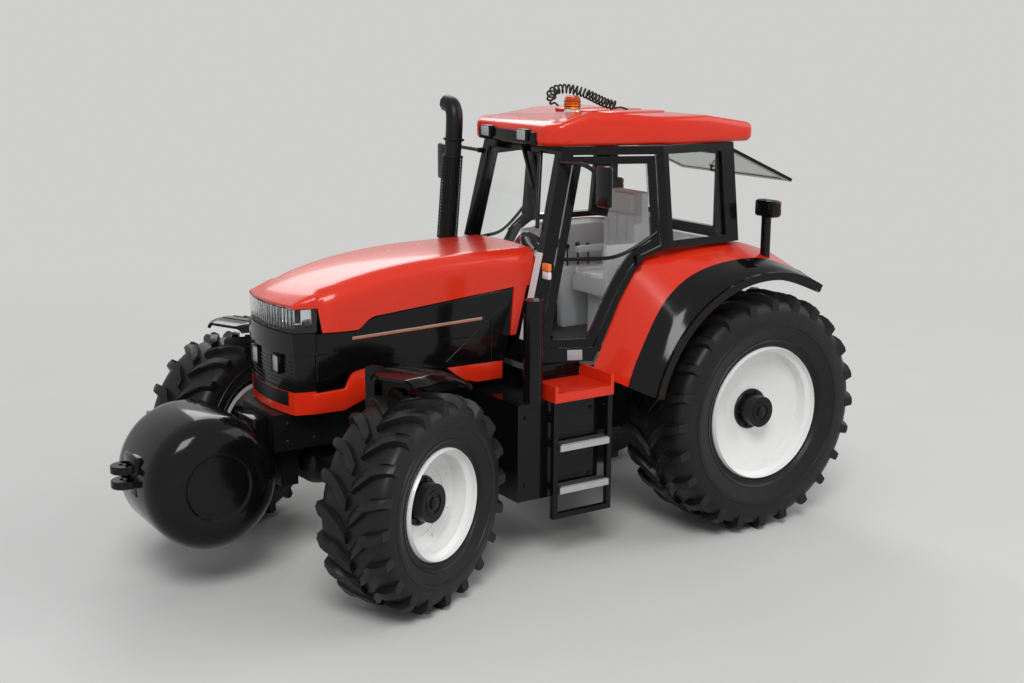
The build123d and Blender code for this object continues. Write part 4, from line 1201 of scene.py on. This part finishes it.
def mudguard(low, high, stand, thick, rows):
    """A part of the rear mudguard's skin between two shares of its width, a distance above it."""

    def spot(forward, outward):
        share = (forward + 1) / 2
        out = low + (high - low) * (outward + 1) / 2
        point = crown(CAB_LINE, share).lerp(crown(TYRE_LINE, share), max(out, 0.0))
        if out < 0.0:
            inner_edge = REAR_HUB + (point - REAR_HUB).normalized() * 30.7
            point = point.lerp(inner_edge, min(1.0, -out / 0.2))
        point += (point - REAR_HUB).normalized() * (stand - 5.0 * max(0.0, out - 0.9))
        return point.x, 24.0 + 13.5 * max(out, 0.0), point.y

    return bent(40, rows, spot, thick, 2)


def flare_lip():
    """The turned-down outer edge of the left flare."""
    lip = sheet(2, 2, 44, 2)
    for vert in lip.verts:
        turn = radians(14.0 + 106.0 * (vert.co.x + 1) / 2)
        radius = 31.0 + (vert.co.y + 1) * 0.9
        vert.co = (radius * cos(turn), 39.3, REAR_RADIUS + radius * sin(turn))
    bmesh.ops.recalc_face_normals(lip, faces=lip.faces)
    bmesh.ops.solidify(lip, geom=list(lip.faces), thickness=0.8)
    for vert in lip.verts:
        vert.co.y = 39.4 if vert.co.y > 39.2 else 38.6
    return lip


skins = pair(mudguard(-0.2, 1.0, 0.0, 0.8, 18))
shown("rear_mudguards", skins, "red_paint", crease=40, stands_for="fenders")
flares = pair(mudguard(0.62, 1.11, 0.22, 0.9, 10), flare_lip())
shown("mudguard_flares", flares, "black_plastic", crease=40, stands_for="fender_flares")

# Front mudguards: bent plates with turned-down edges on the knuckles' posts
GUARD_RADIUS = 26.0


def from_hub(angle, distance, y):
    """A point at an angle and a distance about the wheel's axis."""
    return Vector((distance * cos(radians(angle)), y, distance * sin(radians(angle))))


def front_mudguard(side):
    """One front mudguard about its knuckle's pin, with cross beads and bolts."""

    def spot(round_tyre, across):
        narrow = 1.0 - 0.25 * max(0.0, abs(round_tyre) - 0.8) / 0.2
        dip = 1.2 * max(0.0, abs(across) - 0.7) / 0.3
        y = side * (10.2 + 7.2 * across * narrow)
        return from_hub(104.0 + 24.0 * round_tyre, GUARD_RADIUS - dip**1.6, y)

    shape = whole(bent(24, 14, spot, 0.7, 2))
    for angle in (90, 98, 106, 114, 122):
        join(shape, rod(from_hub(angle, 25.95, side * 5.6), from_hub(angle, 25.95, side * 14.6), 0.22))
    for angle, reach in ((104, 4.4), (112, 4.4), (104, 13.6)):
        join(shape, bolt(from_hub(angle, 25.85, side * reach), from_hub(angle, 1.0, 0), 0.42))
    return shape


for hand, side in (("left", 1), ("right", -1)):
    guard = whole(put(front_mudguard(side), kingpin(side)))
    shown(
        f"mudguard_{hand}",
        guard,
        "black_plastic",
        body=f"knuckle_{hand}",
        crease=40,
        stands_for=f"front_fender_{hand}",
    )

# Red skirts under the rear of the side panels
SKIRT = ((55.2, 38.2), (55.2, 42.4), (69.6, 42.4), (66.0, 39.4), (62.0, 38.2))
shown("side_skirts", pair(side_board(SKIRT, 13.5, 0.8, 0.2)), "red_paint")

# Rear lamps: rounded cases on posts, with a red and an orange lens on each
lamp_case = brick((-8.6, 26.6, 71.9), (-5.7, 32.9, 75.9), 0.7)
lamp_post = brick((-8.0, 28.7, 60.2), (-6.1, 30.3, 72.4), 0.3)
shown("rear_lamp_cases", pair(lamp_post, lamp_case), "black_plastic", stands_for="rear_lamps")
for name, finish, low, high in (("red", lamp_red, 72.35, 74.0), ("orange", lamp_orange, 74.2, 75.65)):
    shown(f"rear_lens_{name}", pair(brick((-8.95, 27.1, low), (-8.5, 32.4, high), 0.18)), "amber", finish)

# Rear of the axle housing: a splined shaft in a collar and a row of hose couplings
SHAFT_Z = 27.0
HOUSING_REAR = -9.0
COLLAR = ((0, 0), (2.1, 0), (2.1, 0.6), (1.7, 0.9), (1.1, 0.9), (1.1, 3.1), (0.9, 3.4), (0, 3.4))
COUPLING = ((0, 0), (0.9, 0), (0.9, 0.9), (0.6, 0.9), (0.6, 1.5), (0.75, 1.6), (0.75, 1.9), (0, 1.9))
made = whole(put(turned(COLLAR, 32), facing((HOUSING_REAR, 0, SHAFT_Z), (-1, 0, 0))))
for i in range(6):
    y = 1.1 * cos(pi * i / 3)
    z = SHAFT_Z + 1.1 * sin(pi * i / 3)
    join(made, brick((-12.1, y - 0.2, z - 0.2), (-10.0, y + 0.2, z + 0.2), 0.08))
for y in (-4.5, -1.5, 1.5, 4.5):
    join(made, turned(COUPLING, 16), facing((HOUSING_REAR, y, 35.5), (-1, 0, 0)))
shown("shaft_and_couplings", made, "chassis_black")

# Floor, lights and a pale wall behind: far off, the floor takes the wall's own colour
WALL = tone(0.62, 0.62, 0.61)
NOTHING = tone(0.0, 0.0, 0.0)
floor_mesh = bpy.data.meshes.new("floor")
floor_shape = sheet(8.0, 8.0, 1, 1)
floor_shape.to_mesh(floor_mesh)
floor_shape.free()
floor = bpy.data.objects.new("floor", floor_mesh)
bpy.context.collection.objects.link(floor)
floor_finish = Finish("pale_floor", Roughness=1.0, Specular_IOR_Level=0.0, Emission_Strength=1.0)
away = (floor_finish.axis("X") ** 2 + floor_finish.axis("Y") ** 2) ** 0.5
far = ((away - 0.14) / 0.26).clip()
pale = floor_finish.blend(floor_finish.noise(30.0), tone(0.64, 0.64, 0.63), tone(0.68, 0.68, 0.67))
floor_finish.set("Base Color", floor_finish.blend(far, pale, NOTHING))
floor_finish.set("Emission Color", floor_finish.blend(far, NOTHING, WALL))
floor.data.materials.append(floor_finish.material)


def lamp(name, place, width, power):
    """A soft square lamp that looks at the model's middle."""
    light = bpy.data.lights.new(name, "AREA")
    light.size = width
    light.energy = power
    made = bpy.data.objects.new(name, light)
    made.location = place
    made.rotation_euler = (Vector((0.0, 0.0, 0.05)) - Vector(place)).to_track_quat("-Z", "Y").to_euler()
    bpy.context.collection.objects.link(made)


lamp("key", (0.34, 0.50, 0.62), 0.30, 3.6)
lamp("fill", (-0.55, 0.35, 0.40), 0.50, 1.3)
lamp("back", (-0.25, -0.60, 0.50), 0.40, 1.6)

world = bpy.data.worlds.new("sky")
bpy.context.scene.world = world
world.use_nodes = True
sky = Graph(world.node_tree)
path = world.node_tree.nodes.new("ShaderNodeLightPath")
rays = [Wire(sky, path.outputs[f"Is {kind} Ray"]) for kind in ("Camera", "Glossy", "Transmission")]
seen = (rays[0] + rays[1] + rays[2]).clip()
glow = sky.node("ShaderNodeBackground", sockets={"Color": tone(0.93, 0.94, 0.95), "Strength": 0.45})
wall = sky.node("ShaderNodeBackground", sockets={"Color": WALL, "Strength": 1.0})
mixed = sky.node("ShaderNodeMixShader", sockets={0: seen, 1: glow, 2: wall})
world.node_tree.links.new(mixed.socket, world.node_tree.nodes["World Output"].inputs["Surface"])
bpy.context.scene.view_settings.view_transform = "Standard"
